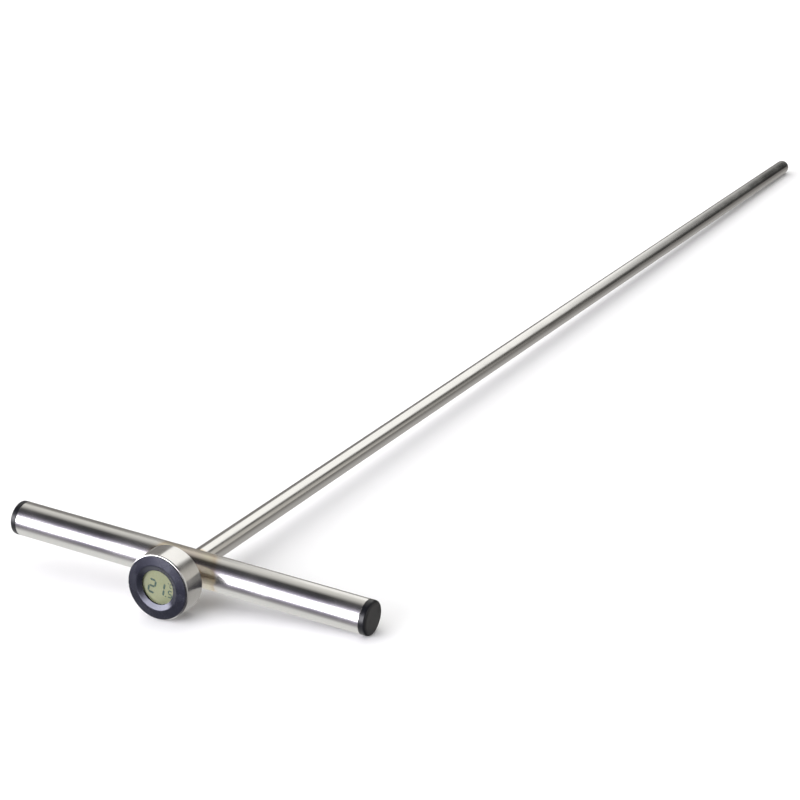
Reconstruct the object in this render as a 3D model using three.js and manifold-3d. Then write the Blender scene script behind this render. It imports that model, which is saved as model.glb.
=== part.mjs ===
// T-handle probe thermometer: a stainless tube handle with a long stainless probe tube welded
// through it, and a round housing on the probe's near end that holds a battery-powered display.
// Millimetres. The handle lies along X, the probe points along +Y, the display faces -Y, +Z is up.
// The origin is under the middle of the object's length, at the height of the housing's lowest line.

import * as THREE from 'three';
import { mergeVertices } from 'three/addons/utils/BufferGeometryUtils.js';
import Module from 'manifold-3d';

const wasm = await Module();
wasm.setup();

// ---------------------------------------------------------------- driving dimensions

const gap = 0.3; // left between two pieces that touch
const wideFacets = 48; // sides of a full turn on the housing and the display
const tubeFacets = 32; // on the tubes, their caps and their welds
const smallFacets = 16; // on screws, holes and wiring

const handle = { radius: 10, wall: 1.5, length: 224 };
const cap = { flange: 4, edge: 1.5, plugLength: 14, plugWall: 2, ribs: 3, ribWidth: 1.8, ribHeight: 0.6 };
const probe = { radius: 6, wall: 1, reach: 1015, neck: 7.2 };
const tip = { spigot: 8, boreWall: 1.5, nose: 5.2 };
const weld = { leg: 1.4, steps: 3 };

const cell = { radius: 5.8, thickness: 3.05, step: 0.85, stepHeight: 0.3, edge: 0.3 };
const door = {
  play: 0.2, thickness: 1.4, lugReach: 1.4, lugHeight: 0.4, lugSpan: 30, lugPlay: 3, restAngle: -20, turn: 40,
};
const coinSlot = { length: 8.4, width: 1.2, depth: 0.6 };
const grommet = { bore: 0.3, wall: 0.4, flange: 0.5, flangeHeight: 0.5 };
const lead = { radius: 0.8, sides: 8, wave: 2.6, waves: 2, joint: 80 };
const sleeve = { wall: 0.4, length: 20 };

const bezel = {
  window: 10.05, lip: 0.35, chamfer: 3.05, dip: 1.3, crown: 0.3, rise: 0.65, edge: 0.7, rim: 0.7, skirt: 1.6,
};
const pocket = { ledge: 0.95, rib: 0.9 };
const boss = { radius: 1.8, sink: 0.2, angles: [90, -15, 195] };
const screw = { shank: 0.8, head: 1.7, headHeight: 0.9, sink: 0.6, slot: 0.5, slotDepth: 0.4, bite: 1.7 };
const lens = { thickness: 0.7, edge: 0.2 };
const lcd = { glass: 0.8, contactLedge: 3 };
const reflector = { thickness: 0.3 };
const strip = { length: 11.6, width: 1.2 };
const board = { thickness: 1, standOff: 1.5 };
const chip = { radius: 3, height: 1.2, x: -6.5, z: 5.5 };
const contact = { thickness: 0.3, width: 3, length: 9.5, arc: 60 };
const rearCase = { wall: 1.4, back: 1.2, margin: 1.3 };
const ring = { section: 0.75, squeeze: 0.15, grooveSide: 0.2 };
const housing = { wall: 2, back: 1.5, chamber: 3.95, play: 1, chamfer: 0.8 };
const displayTurn = 8; // degrees that the display sits turned in its housing, clockwise from the front

const bead = { radius: 1.2, length: 2.8 };
const potting = { bore: 1.5, length: 6.5 };

// ---------------------------------------------------------------- sizes that follow

const boreRadius = handle.radius - handle.wall;
const probeHole = probe.radius + gap;
const probeInner = probe.radius - probe.wall;

const doorRadius = cell.radius + door.play;
const doorHole = doorRadius + gap;
const lugRadius = doorRadius + door.lugReach;
const grommetFlange = lead.radius + grommet.bore + grommet.wall + grommet.flange;

// The display module is as wide as its battery door needs, or as its window, bosses and skirt need.
const pocketRadius = bezel.window + pocket.ledge;
const widthForDoor = grommetFlange + gap + 2 * doorHole + rearCase.margin;
const widthForWindow = pocketRadius + 2 * boss.radius + bezel.skirt;
const moduleRadius = Math.max(widthForDoor, widthForWindow);
const skirtInner = moduleRadius - bezel.skirt;
const bossCircle = skirtInner - boss.radius + boss.sink;
const caseInner = moduleRadius - rearCase.wall;
const cellDrop = moduleRadius - rearCase.margin - doorHole; // from the display's axis down to the cell's

const housingBore = moduleRadius + housing.play;
const housingRadius = housingBore + housing.wall;
const bezelRadius = housingRadius - bezel.rim;
const crestRadius = bezel.window + bezel.chamfer;

// Depths along the display's axis, counted back from the bezel's crest.
const depth = {};
depth.flangeBack = bezel.rise + bezel.edge;
depth.housingFront = depth.flangeBack + gap;
depth.pocket = bezel.dip + bezel.lip;
depth.lensFront = depth.pocket + gap;
depth.lensBack = depth.lensFront + lens.thickness;
depth.lcdFront = depth.lensBack + gap;
depth.lcdLedge = depth.lcdFront + lcd.glass;
depth.lcdBack = depth.lcdLedge + lcd.glass;
depth.reflectorFront = depth.lcdBack + gap;
depth.reflectorBack = depth.reflectorFront + reflector.thickness;
depth.boardFront = depth.reflectorBack + board.standOff;
depth.boardBack = depth.boardFront + board.thickness;
depth.contactFront = depth.reflectorBack + gap;
depth.cellFront = depth.contactFront + contact.thickness + 2 * gap;
depth.cellBack = depth.cellFront + cell.thickness;
depth.doorFront = depth.cellBack + gap;
depth.caseBack = depth.doorFront + door.thickness;
depth.caseFloor = depth.caseBack - rearCase.back;
depth.skirtEnd = depth.boardBack - 0.2;
depth.caseFront = depth.skirtEnd + gap;
depth.housingFloor = depth.caseBack + housing.chamber;
depth.housingBack = depth.housingFloor + housing.back;

const housingBackY = -(handle.radius + probe.neck);
const crestY = housingBackY - depth.housingBack;
const tipY = handle.radius + probe.reach;
const domeY = tipY - probe.radius;

const y = (d) => crestY + d;
const radians = THREE.MathUtils.degToRad;

// ---------------------------------------------------------------- shapes

// A closed outline of [radius, y] points turned about the Y axis, in either order of its points.
function turned(outline, sides = wideFacets) {
  const points = outline.map(([r, h]) => new THREE.Vector2(r, h));
  if (THREE.ShapeUtils.isClockWise(points)) points.reverse();
  const onAxis = points.findIndex((p, i) => p.x === 0 && points.at(i - 1).x === 0);
  const ordered = onAxis < 0 ? points : [...points.slice(onAxis), ...points.slice(0, onAxis)];
  if (onAxis < 0) ordered.push(ordered[0].clone());
  return new THREE.LatheGeometry(ordered, sides);
}

// A straight round rod along Y between two heights.
function rodY(radius, from, to, sides = wideFacets) {
  const rod = new THREE.CylinderGeometry(radius, radius, Math.abs(to - from), sides);
  return rod.translate(0, (from + to) / 2, 0);
}

// The same along X, centred on the probe's axis.
function rodX(radius, length, sides = tubeFacets) {
  return new THREE.CylinderGeometry(radius, radius, length, sides).rotateZ(-Math.PI / 2);
}

function block(width, length, height, x, yMiddle, z) {
  return new THREE.BoxGeometry(width, length, height).translate(x, yMiddle, z);
}

// A flat outline in the display's x and z, given thickness from one depth to another.
function slab(shape, front, back, curveSegments = 12) {
  const plate = new THREE.ExtrudeGeometry(shape, {
    depth: back - front, bevelEnabled: false, curveSegments,
  });
  return plate.rotateX(Math.PI / 2).translate(0, y(back), 0);
}

function solid(geometry) {
  const bare = geometry.clone();
  bare.deleteAttribute('normal');
  bare.deleteAttribute('uv');
  const merged = mergeVertices(bare, 1e-4);
  return new wasm.Manifold(new wasm.Mesh({
    numProp: 3,
    vertProperties: new Float32Array(merged.attributes.position.array),
    triVerts: new Uint32Array(merged.index.array),
  }));
}

function geometryOf(body) {
  const mesh = body.getMesh();
  const geometry = new THREE.BufferGeometry();
  geometry.setAttribute('position', new THREE.BufferAttribute(mesh.vertProperties, 3));
  geometry.setIndex(new THREE.BufferAttribute(mesh.triVerts, 1));
  geometry.computeVertexNormals();
  return geometry;
}

const join = (first, ...others) => others.reduce((whole, one) => whole.add(solid(one)), first);
const cut = (first, ...others) => others.reduce((whole, one) => whole.subtract(solid(one)), first);

// A round tube of a few flat sides along a smooth curve.
function cableAlong(points, radius, steps) {
  const section = new THREE.Shape(
    Array.from({ length: lead.sides }, (_, i) => {
      const turn = (2 * Math.PI * i) / lead.sides;
      return new THREE.Vector2(radius * Math.cos(turn), radius * Math.sin(turn));
    }),
  );
  const extrudePath = new THREE.CatmullRomCurve3(points);
  return new THREE.ExtrudeGeometry(section, { steps, bevelEnabled: false, extrudePath });
}

// ---------------------------------------------------------------- finishes and assembly

const group = new THREE.Group();
const assembly = new THREE.Group();
assembly.position.set(0, -(crestY + tipY) / 2, housingRadius);
group.add(assembly);
const display = new THREE.Group();
display.rotation.y = radians(displayTurn);
assembly.add(display);

const finishes = {
  polishedSteel: { color: 0xc9c9c6, roughness: 0.25, metalness: 1 },
  tintedWeld: { color: 0x9a8468, roughness: 0.35, metalness: 1 },
  blackPlastic: { color: 0x17181b, roughness: 0.45, metalness: 0 },
  satinBlack: { color: 0x1c1d24, roughness: 0.35, metalness: 0 },
  clearPlastic: { color: 0xf2f4f0, roughness: 0.05, metalness: 0, transparent: true, opacity: 0.3 },
  lcdGreen: { color: 0x98a07c, roughness: 0.3, metalness: 0 },
  silverFilm: { color: 0xd0d0cc, roughness: 0.4, metalness: 1 },
  rubber: { color: 0x121212, roughness: 0.8, metalness: 0 },
  boardGreen: { color: 0x1d5a37, roughness: 0.5, metalness: 0 },
  springBronze: { color: 0xc0a468, roughness: 0.3, metalness: 1 },
  cellSteel: { color: 0xd6d6d2, roughness: 0.3, metalness: 1 },
  epoxy: { color: 0x0c0c0d, roughness: 0.3, metalness: 0 },
  greyJacket: { color: 0x5d5f63, roughness: 0.6, metalness: 0 },
};

function place(parent, name, geometry, finish) {
  const mesh = new THREE.Mesh(geometry, new THREE.MeshStandardMaterial(finishes[finish]));
  mesh.name = name;
  parent.add(mesh);
  return mesh;
}

// ---------------------------------------------------------------- handle

function handleTube() {
  const half = handle.length / 2;
  const wall = [[boreRadius, -half], [handle.radius, -half], [handle.radius, half], [boreRadius, half]];
  const tube = solid(turned(wall).rotateZ(-Math.PI / 2));
  return geometryOf(cut(tube, rodY(probeHole, -2 * handle.radius, 2 * handle.radius, tubeFacets)));
}

// A moulded plug: a flange with a rounded edge that covers the tube's end, and a hollow ribbed stem.
// Turned about Y with its face up, from the tube's end at height 0.
function endCap() {
  const stem = boreRadius - gap - cap.ribHeight;
  const edgeCentre = [handle.radius - cap.edge, cap.flange - cap.edge];
  const outline = [[0, cap.flange]];
  for (let i = 0; i <= 3; i++) {
    const turn = (Math.PI / 2) * (1 - i / 3);
    outline.push([edgeCentre[0] + cap.edge * Math.cos(turn), edgeCentre[1] + cap.edge * Math.sin(turn)]);
  }
  outline.push([handle.radius, gap], [stem, gap]);
  const pitch = cap.plugLength / (cap.ribs + 1);
  for (let rib = 1; rib <= cap.ribs; rib++) {
    const top = -rib * pitch + cap.ribWidth / 2;
    outline.push([stem, top], [stem + cap.ribHeight, top - cap.ribWidth / 3], [stem, top - cap.ribWidth]);
  }
  outline.push([stem, -cap.plugLength], [stem - cap.plugWall, -cap.plugLength]);
  outline.push([stem - cap.plugWall, -1], [0, -1]);
  return turned(outline, tubeFacets);
}

place(assembly, 'handle_tube', handleTube(), 'polishedSteel');
for (const [name, side] of [['left_end_cap', -1], ['right_end_cap', 1]]) {
  const flange = place(assembly, name, endCap(), 'blackPlastic');
  flange.rotation.z = (-side * Math.PI) / 2;
  flange.position.x = (side * handle.length) / 2;
}

// ---------------------------------------------------------------- probe

function probeTube() {
  const near = housingBackY - housing.back;
  const far = domeY - gap;
  const wall = [[probeInner, near], [probe.radius, near], [probe.radius, far], [probeInner, far]];
  return turned(wall, tubeFacets);
}

// The turned nose that closes the probe, with a spigot inside the tube and a blind bore for the sensor.
function probeTip() {
  const spigot = probeInner - gap;
  const bore = spigot - tip.boreWall;
  const outline = [[0, tipY]];
  for (let i = 1; i <= 6; i++) {
    const turn = (Math.PI / 2) * (1 - i / 6);
    outline.push([probe.radius * Math.cos(turn), domeY + probe.radius * Math.sin(turn)]);
  }
  outline.push([spigot, domeY], [spigot, domeY - tip.spigot], [bore, domeY - tip.spigot]);
  outline.push([bore, tipY - tip.nose], [0, tipY - tip.nose + bore / 3]);
  return turned(outline, tubeFacets);
}

// A fillet bead where the probe passes through the handle's wall, on the front (-1) or the rear (1).
function crossWeld(side) {
  const outside = 2 * handle.radius * side;
  let fillet = null;
  for (let step = 1; step <= weld.steps; step++) {
    const onProbe = (weld.leg * step) / weld.steps;
    const onHandle = (weld.leg * (weld.steps + 1 - step)) / weld.steps;
    const round = solid(rodY(probeHole + onProbe, 0, outside, tubeFacets));
    const layer = round.intersect(solid(rodX(handle.radius + gap + onHandle, 4 * probe.radius)));
    fillet = fillet ? fillet.add(layer) : layer;
  }
  const handleRod = rodX(handle.radius + gap, 5 * probe.radius);
  return geometryOf(cut(fillet, handleRod, rodY(probeHole, -side, 1.5 * outside, tubeFacets)));
}

// The ring bead between the probe's neck and the back of the housing.
function housingWeld() {
  const foot = housingBackY + gap;
  return turned([
    [probeHole, foot], [probeHole + weld.leg, foot],
    [probeHole + weld.leg / 3, foot + weld.leg / 3], [probeHole, foot + weld.leg],
  ], tubeFacets);
}

place(assembly, 'probe_tube', probeTube(), 'polishedSteel');
place(assembly, 'probe_tip', probeTip(), 'polishedSteel');
place(assembly, 'front_weld', crossWeld(-1), 'tintedWeld');
place(assembly, 'rear_weld', crossWeld(1), 'tintedWeld');
place(assembly, 'housing_weld', housingWeld(), 'tintedWeld');

// ---------------------------------------------------------------- display housing and its seal

function displayHousing() {
  const back = y(depth.housingBack);
  const front = y(depth.housingFront);
  const floor = y(depth.housingFloor);
  return turned([
    [probeHole, back], [housingRadius - housing.chamfer, back], [housingRadius, back - housing.chamfer],
    [housingRadius, front + housing.chamfer], [housingRadius - housing.chamfer, front],
    [housingBore, front], [housingBore, floor], [probeHole, floor],
  ]);
}

const ringRadius = housingBore - ring.squeeze - ring.section; // of the seal's middle line
const grooveFloor = ringRadius - ring.section - 0.05;
const ringDepth = depth.reflectorBack + ring.grooveSide;

function sealRing() {
  const outline = Array.from({ length: 8 }, (_, i) => {
    const turn = (2 * Math.PI * (i + 0.5)) / 8;
    return [ringRadius + ring.section * Math.cos(turn), y(ringDepth) + ring.section * Math.sin(turn)];
  });
  return turned(outline);
}

place(assembly, 'display_housing', displayHousing(), 'polishedSteel');
place(assembly, 'seal_ring', sealRing(), 'rubber');

// ---------------------------------------------------------------- display module, front to back

const bossPlaces = boss.angles.map((angle) => [
  bossCircle * Math.cos(radians(angle)), bossCircle * Math.sin(radians(angle)),
]);

// A short round post or hole on one of the screw places.
function postAt([x, z], radius, front, back) {
  return rodY(radius, y(front), y(back), smallFacets).translate(x, 0, z);
}

// The black front shell: a ridged ring round the window, a skirt that plugs into the housing with a
// groove for the seal, a ribbed pocket for the lens and the glass, and three screw bosses.
function bezelRing() {
  const grooveHalf = ring.section + ring.grooveSide;
  const wallBack = y(depth.lensBack + 0.1);
  const ribBack = y(depth.lcdBack + 0.2);
  const shell = solid(turned([
    [bezel.window, y(bezel.dip)], [crestRadius - bezel.crown, y(bezel.crown / 4)], [crestRadius, y(0)],
    [crestRadius + bezel.crown, y(bezel.crown / 6)], [bezelRadius, y(bezel.rise)],
    [bezelRadius, y(depth.flangeBack)], [moduleRadius, y(depth.flangeBack)],
    [moduleRadius, y(ringDepth - grooveHalf)], [grooveFloor, y(ringDepth - grooveHalf)],
    [grooveFloor, y(ringDepth + grooveHalf)], [moduleRadius, y(ringDepth + grooveHalf)],
    [moduleRadius, y(depth.skirtEnd)], [skirtInner, y(depth.skirtEnd)], [skirtInner, wallBack],
    [pocketRadius + pocket.rib, wallBack], [pocketRadius + pocket.rib, ribBack],
    [pocketRadius, ribBack], [pocketRadius, y(depth.pocket)], [bezel.window, y(depth.pocket)],
  ]));
  const end = depth.boardFront - gap;
  const bosses = bossPlaces.map((at) => postAt(at, boss.radius, depth.lensBack, end));
  const holes = bossPlaces.map((at) => postAt(at, screw.shank + gap, end - screw.bite - gap, end + 1));
  return geometryOf(cut(join(shell, ...bosses), ...holes, rodY(pocketRadius, y(depth.lensFront), y(end))));
}

function displayLens() {
  const radius = pocketRadius - gap;
  const front = y(depth.lensFront);
  const back = y(depth.lensBack);
  return turned([
    [0, front], [radius - lens.edge, front], [radius, front + lens.edge], [radius, back], [0, back],
  ]);
}

// A round outline with a flat at the top, at height chord above the axis.
function cropped(radius, chord) {
  const start = Math.asin(chord / radius);
  const shape = new THREE.Shape();
  shape.absarc(0, 0, radius, Math.PI - start, 2 * Math.PI + start, false);
  return shape;
}

const glassRadius = pocketRadius - gap - 0.1;
const contactChord = glassRadius - lcd.contactLedge;

// Two sheets of glass, the rear one cropped at the top where the connector strip touches the front one.
function lcdPanel() {
  const front = solid(rodY(glassRadius, y(depth.lcdFront), y(depth.lcdLedge)));
  const rear = slab(cropped(glassRadius, contactChord), depth.lcdLedge, depth.lcdBack, tubeFacets);
  return geometryOf(join(front, rear));
}

function lcdReflector() {
  return slab(cropped(glassRadius, contactChord), depth.reflectorFront, depth.reflectorBack, tubeFacets);
}

// The striped rubber connector between the front glass and the circuit board.
function zebraStrip() {
  const front = depth.lcdLedge + gap;
  const back = depth.boardFront - gap;
  const z = contactChord + gap + strip.width / 2;
  return block(strip.length, back - front, strip.width, 0, y((front + back) / 2), z);
}

function circuitBoard() {
  const disc = solid(rodY(skirtInner - gap, y(depth.boardFront), y(depth.boardBack)));
  const beyond = 1;
  const cutFront = depth.boardFront - beyond;
  const cutBack = depth.boardBack + beyond;
  const holes = bossPlaces.map((at) => postAt(at, screw.shank + gap, cutFront, cutBack));
  const notch = rodY(cell.radius + 3 * gap + contact.thickness, y(cutFront), y(cutBack), tubeFacets);
  return geometryOf(cut(disc, ...holes, notch.translate(0, 0, -cellDrop)));
}

// The drop of black resin over the chip, on the board's back.
function chipBlob() {
  const foot = y(depth.boardBack + gap);
  const outline = [[0, foot], [chip.radius, foot]];
  for (let i = 1; i <= 4; i++) {
    const turn = (Math.PI / 2) * (i / 4);
    outline.push([chip.radius * Math.cos(turn), foot + chip.height * Math.sin(turn)]);
  }
  outline.at(-1)[0] = 0;
  return turned(outline, smallFacets).translate(chip.x, 0, chip.z);
}

function buttonCell() {
  const shoulder = depth.cellFront + cell.stepHeight;
  return turned([
    [0, y(depth.cellFront)], [cell.radius - cell.step, y(depth.cellFront)],
    [cell.radius - cell.step, y(shoulder)], [cell.radius - cell.edge, y(shoulder)],
    [cell.radius, y(shoulder + cell.edge)], [cell.radius, y(depth.cellBack - cell.edge)],
    [cell.radius - cell.edge, y(depth.cellBack)], [0, y(depth.cellBack)],
  ], tubeFacets).translate(0, 0, -cellDrop);
}

// The sprung tongue that presses on the cell's front: a strip with a raised end.
function frontContact() {
  const near = depth.contactFront;
  const back = near + contact.thickness;
  const end = -contact.width / 2;
  const outline = new THREE.Shape([
    new THREE.Vector2(end, back), new THREE.Vector2(end, near), new THREE.Vector2(end + contact.length, near),
    new THREE.Vector2(end + contact.length, back), new THREE.Vector2(contact.width / 2, back),
    new THREE.Vector2(0, back + gap),
  ]);
  const tongue = new THREE.ExtrudeGeometry(outline, { depth: contact.width, bevelEnabled: false });
  return tongue.translate(0, crestY, -cellDrop - contact.width / 2);
}

// The curved leaf that touches the cell's rim, with a foot on the board's back.
function rimContact() {
  const inner = cell.radius + gap;
  const outer = inner + contact.thickness;
  const half = radians(contact.arc / 2);
  const shape = new THREE.Shape();
  shape.absarc(0, 0, outer, -half, half, false);
  shape.absarc(0, 0, inner, half, -half, true);
  const leaf = solid(slab(shape, depth.boardFront, depth.cellBack - 2 * gap, 8));
  const footFront = depth.boardBack + gap;
  const foot = block(2.4, contact.thickness, 2, inner + 1.3, y(footFront + contact.thickness / 2), 0);
  return geometryOf(join(leaf, foot)).translate(0, 0, -cellDrop);
}

place(display, 'bezel_ring', bezelRing(), 'satinBlack');
place(display, 'display_lens', displayLens(), 'clearPlastic');
place(display, 'lcd_panel', lcdPanel(), 'lcdGreen');
place(display, 'lcd_reflector', lcdReflector(), 'silverFilm');
place(display, 'zebra_strip', zebraStrip(), 'rubber');
place(display, 'circuit_board', circuitBoard(), 'boardGreen');
place(display, 'chip_blob', chipBlob(), 'epoxy');
place(display, 'button_cell', buttonCell(), 'cellSteel');
place(display, 'front_contact', frontContact(), 'springBronze');
place(display, 'rim_contact', rimContact(), 'springBronze');

// ---------------------------------------------------------------- rear case, battery door, screws

// Two opposite ring sectors about the door's axis, as wide as a lug and its clearance.
function sectorPair(radius, fromAngle, toAngle, front, back) {
  return [0, 180].map((turn) => {
    const from = radians(fromAngle + turn);
    const shape = new THREE.Shape();
    shape.moveTo(0, 0);
    shape.lineTo(radius * Math.cos(from), radius * Math.sin(from));
    shape.absarc(0, 0, radius, from, radians(toAngle + turn), false);
    return slab(shape, front, back, 10).translate(0, 0, -cellDrop);
  });
}

const lugHalf = door.lugSpan / 2;
const lugBack = depth.doorFront + door.lugHeight;
const openAngle = door.restAngle + door.turn;

function moduleCase() {
  const shell = solid(turned([
    [0, y(depth.caseBack)], [moduleRadius - 0.4, y(depth.caseBack)], [moduleRadius, y(depth.caseBack - 0.4)],
    [moduleRadius, y(depth.caseFront)], [caseInner, y(depth.caseFront)],
    [caseInner, y(depth.caseFloor)], [0, y(depth.caseFloor)],
  ]));
  const beyond = 1;
  const out = depth.caseBack + beyond;
  const wayIn = depth.caseFloor - beyond;
  const opening = rodY(doorHole, y(wayIn), y(out), tubeFacets).translate(0, 0, -cellDrop);
  const reach = lugHalf + door.lugPlay;
  const track = sectorPair(
    lugRadius + gap, door.restAngle - reach, openAngle + reach, wayIn, lugBack + gap,
  );
  const notches = sectorPair(lugRadius + gap, openAngle - reach, openAngle + reach, wayIn, out);
  const holes = bossPlaces.map((at) => postAt(at, screw.shank + gap, wayIn, out));
  const sinks = bossPlaces.map((at) => postAt(at, screw.head + gap, depth.caseBack - screw.sink, out));
  const cableHole = rodY(lead.radius + grommet.bore + grommet.wall + gap, y(wayIn), y(out), smallFacets);
  return geometryOf(cut(shell, opening, ...track, ...notches, ...holes, ...sinks, cableHole));
}

// A disc with two bayonet lugs that turn under the case's wall, and a slot for a coin.
function batteryDoor() {
  const round = rodY(doorRadius, y(depth.doorFront), y(depth.caseBack), tubeFacets);
  const disc = solid(round.translate(0, 0, -cellDrop));
  const lugs = sectorPair(
    lugRadius, door.restAngle - lugHalf, door.restAngle + lugHalf, depth.doorFront, lugBack,
  );
  const slot = block(coinSlot.length, 2 * coinSlot.depth, coinSlot.width, 0, 0, 0);
  slot.rotateY(-radians(door.restAngle)).translate(0, y(depth.caseBack), -cellDrop);
  return geometryOf(cut(join(disc, ...lugs), slot));
}

function caseScrew([x, z]) {
  const seat = depth.caseBack - screw.sink + gap;
  const top = seat + screw.headHeight;
  const end = depth.boardFront - gap - screw.bite;
  const body = solid(turned([
    [0, y(end)], [screw.shank - 0.3, y(end)], [screw.shank, y(end + 0.4)], [screw.shank, y(seat)],
    [screw.head, y(seat)], [screw.head, y(top - 0.3)], [screw.head - 0.5, y(top)], [0, y(top)],
  ], smallFacets));
  const slot = block(2 * screw.head + 1, 2 * screw.slotDepth, screw.slot, 0, y(top), 0);
  return geometryOf(cut(body, slot)).translate(x, 0, z);
}

// The rubber bush that the lead passes through, clipped into the case's back.
function cableGrommet() {
  const bore = lead.radius + grommet.bore;
  const waist = bore + grommet.wall;
  const inside = depth.caseFloor - gap;
  const outside = depth.caseBack + gap;
  return turned([
    [bore, y(inside - grommet.flangeHeight)], [grommetFlange, y(inside - grommet.flangeHeight)],
    [grommetFlange, y(inside)], [waist, y(inside)], [waist, y(outside)], [grommetFlange, y(outside)],
    [grommetFlange - 0.2, y(outside + grommet.flangeHeight)], [bore, y(outside + grommet.flangeHeight)],
  ], smallFacets);
}

place(display, 'module_case', moduleCase(), 'blackPlastic');
place(display, 'battery_door', batteryDoor(), 'blackPlastic');
bossPlaces.forEach((at, i) => place(display, `case_screw_${i + 1}`, caseScrew(at), 'cellSteel'));
place(display, 'cable_grommet', cableGrommet(), 'rubber');

// ---------------------------------------------------------------- wiring and sensor, inside the probe

// The display's own lead: straight out of the case, then in slack waves that let the module come out.
function moduleLead() {
  const start = y(depth.boardBack + gap);
  const slackFrom = y(depth.housingBack) + 4;
  const end = lead.joint - gap / 2;
  const points = [[0, start], [0, y(depth.caseBack)], [0, slackFrom]];
  const turns = 4 * lead.waves;
  for (let i = 1; i < turns; i++) {
    const along = slackFrom + ((end - sleeve.length / 2 - slackFrom) * i) / turns;
    points.push([lead.wave * Math.sin((Math.PI * i) / 2), along]);
  }
  points.push([0, end - sleeve.length / 2], [0, end]);
  return cableAlong(points.map(([z, along]) => new THREE.Vector3(0, along, z)), lead.radius, 44);
}

const sensorCableEnd = domeY - tip.spigot + potting.length - bead.length - 2 * gap;

// The sensor's cable: from the splice it sinks to the tube's floor, and rises again to the tip's bore.
function sensorCable() {
  const floor = -(probeInner - lead.radius - gap);
  const start = lead.joint + gap / 2;
  const slope = 3 * sleeve.length;
  const sinkFrom = start + sleeve.length;
  const riseTo = sensorCableEnd - sleeve.length;
  const stations = 40;
  const points = Array.from({ length: stations + 1 }, (_, i) => {
    const along = start + ((sensorCableEnd - start) * i) / stations;
    const sunk = THREE.MathUtils.smoothstep(along, sinkFrom, sinkFrom + slope);
    const raised = THREE.MathUtils.smoothstep(along, riseTo - slope, riseTo);
    return new THREE.Vector3(0, along, floor * (sunk - raised));
  });
  return cableAlong(points, lead.radius, stations);
}

function spliceSleeve() {
  const inner = lead.radius + gap;
  const half = sleeve.length / 2;
  const near = lead.joint - half;
  const far = lead.joint + half;
  return turned([
    [inner, near], [inner + sleeve.wall, near], [inner + sleeve.wall, far], [inner, far],
  ], smallFacets);
}

function thermistorBead() {
  const middle = sensorCableEnd + gap + bead.length / 2;
  const outline = Array.from({ length: 7 }, (_, i) => {
    const turn = (Math.PI * (i - 3)) / 6;
    const radius = i === 0 || i === 6 ? 0 : bead.radius * Math.cos(turn);
    return [radius, middle + (bead.length / 2) * Math.sin(turn)];
  });
  return turned(outline, smallFacets);
}

function tipPotting() {
  const near = domeY - tip.spigot + gap;
  const outer = probeInner - gap - tip.boreWall - gap;
  const far = near + potting.length;
  return turned([
    [potting.bore, near], [outer, near], [outer, far], [potting.bore, far],
  ], smallFacets);
}

place(assembly, 'module_lead', moduleLead(), 'greyJacket');
place(assembly, 'splice_sleeve', spliceSleeve(), 'rubber');
place(assembly, 'sensor_cable', sensorCable(), 'greyJacket');
place(assembly, 'thermistor_bead', thermistorBead(), 'epoxy');
place(assembly, 'tip_potting', tipPotting(), 'epoxy');

export default group;
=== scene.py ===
import math

import bmesh
import bpy
from mathutils import Matrix, Vector


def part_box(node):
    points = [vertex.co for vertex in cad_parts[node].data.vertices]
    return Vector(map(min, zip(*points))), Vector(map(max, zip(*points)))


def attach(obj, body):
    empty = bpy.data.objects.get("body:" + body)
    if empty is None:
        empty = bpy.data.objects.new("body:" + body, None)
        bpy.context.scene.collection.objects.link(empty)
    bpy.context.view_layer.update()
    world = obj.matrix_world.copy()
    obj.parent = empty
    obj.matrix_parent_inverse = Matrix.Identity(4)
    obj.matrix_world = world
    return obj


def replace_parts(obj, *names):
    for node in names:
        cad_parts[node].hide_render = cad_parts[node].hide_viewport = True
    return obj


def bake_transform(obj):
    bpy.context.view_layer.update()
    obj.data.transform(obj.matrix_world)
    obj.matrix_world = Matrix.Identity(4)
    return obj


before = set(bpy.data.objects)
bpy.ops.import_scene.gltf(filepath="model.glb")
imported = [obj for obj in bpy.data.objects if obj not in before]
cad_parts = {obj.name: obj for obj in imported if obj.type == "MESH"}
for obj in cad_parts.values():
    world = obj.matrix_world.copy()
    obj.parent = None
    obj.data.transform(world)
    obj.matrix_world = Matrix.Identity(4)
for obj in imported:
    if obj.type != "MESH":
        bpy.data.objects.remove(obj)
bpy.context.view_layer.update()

# ------------------------------------------------------------------------------ handle tube
# A 20 mm stainless tube, brushed along its length and polished over. The probe passes through a hole
# in each wall, and the weld around it has left straw and tan heat tint in the steel.

MM = 0.001
FULL_TURN = 2 * math.pi
SAME_PLACE = 1e-7  # two corners closer than this are one
ALONG_X = Matrix.Rotation(-math.pi / 2, 4, "Z")

tube_low, tube_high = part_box("handle_tube")
handle_middle = (tube_low + tube_high) / 2
handle_radius = (tube_high.z - tube_low.z) / 2
handle_half = (tube_high.x - tube_low.x) / 2
handle_wall = 1.5 * MM
tube_edge = 0.25 * MM
fit_gap = 0.3 * MM  # between two pieces that touch


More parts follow.
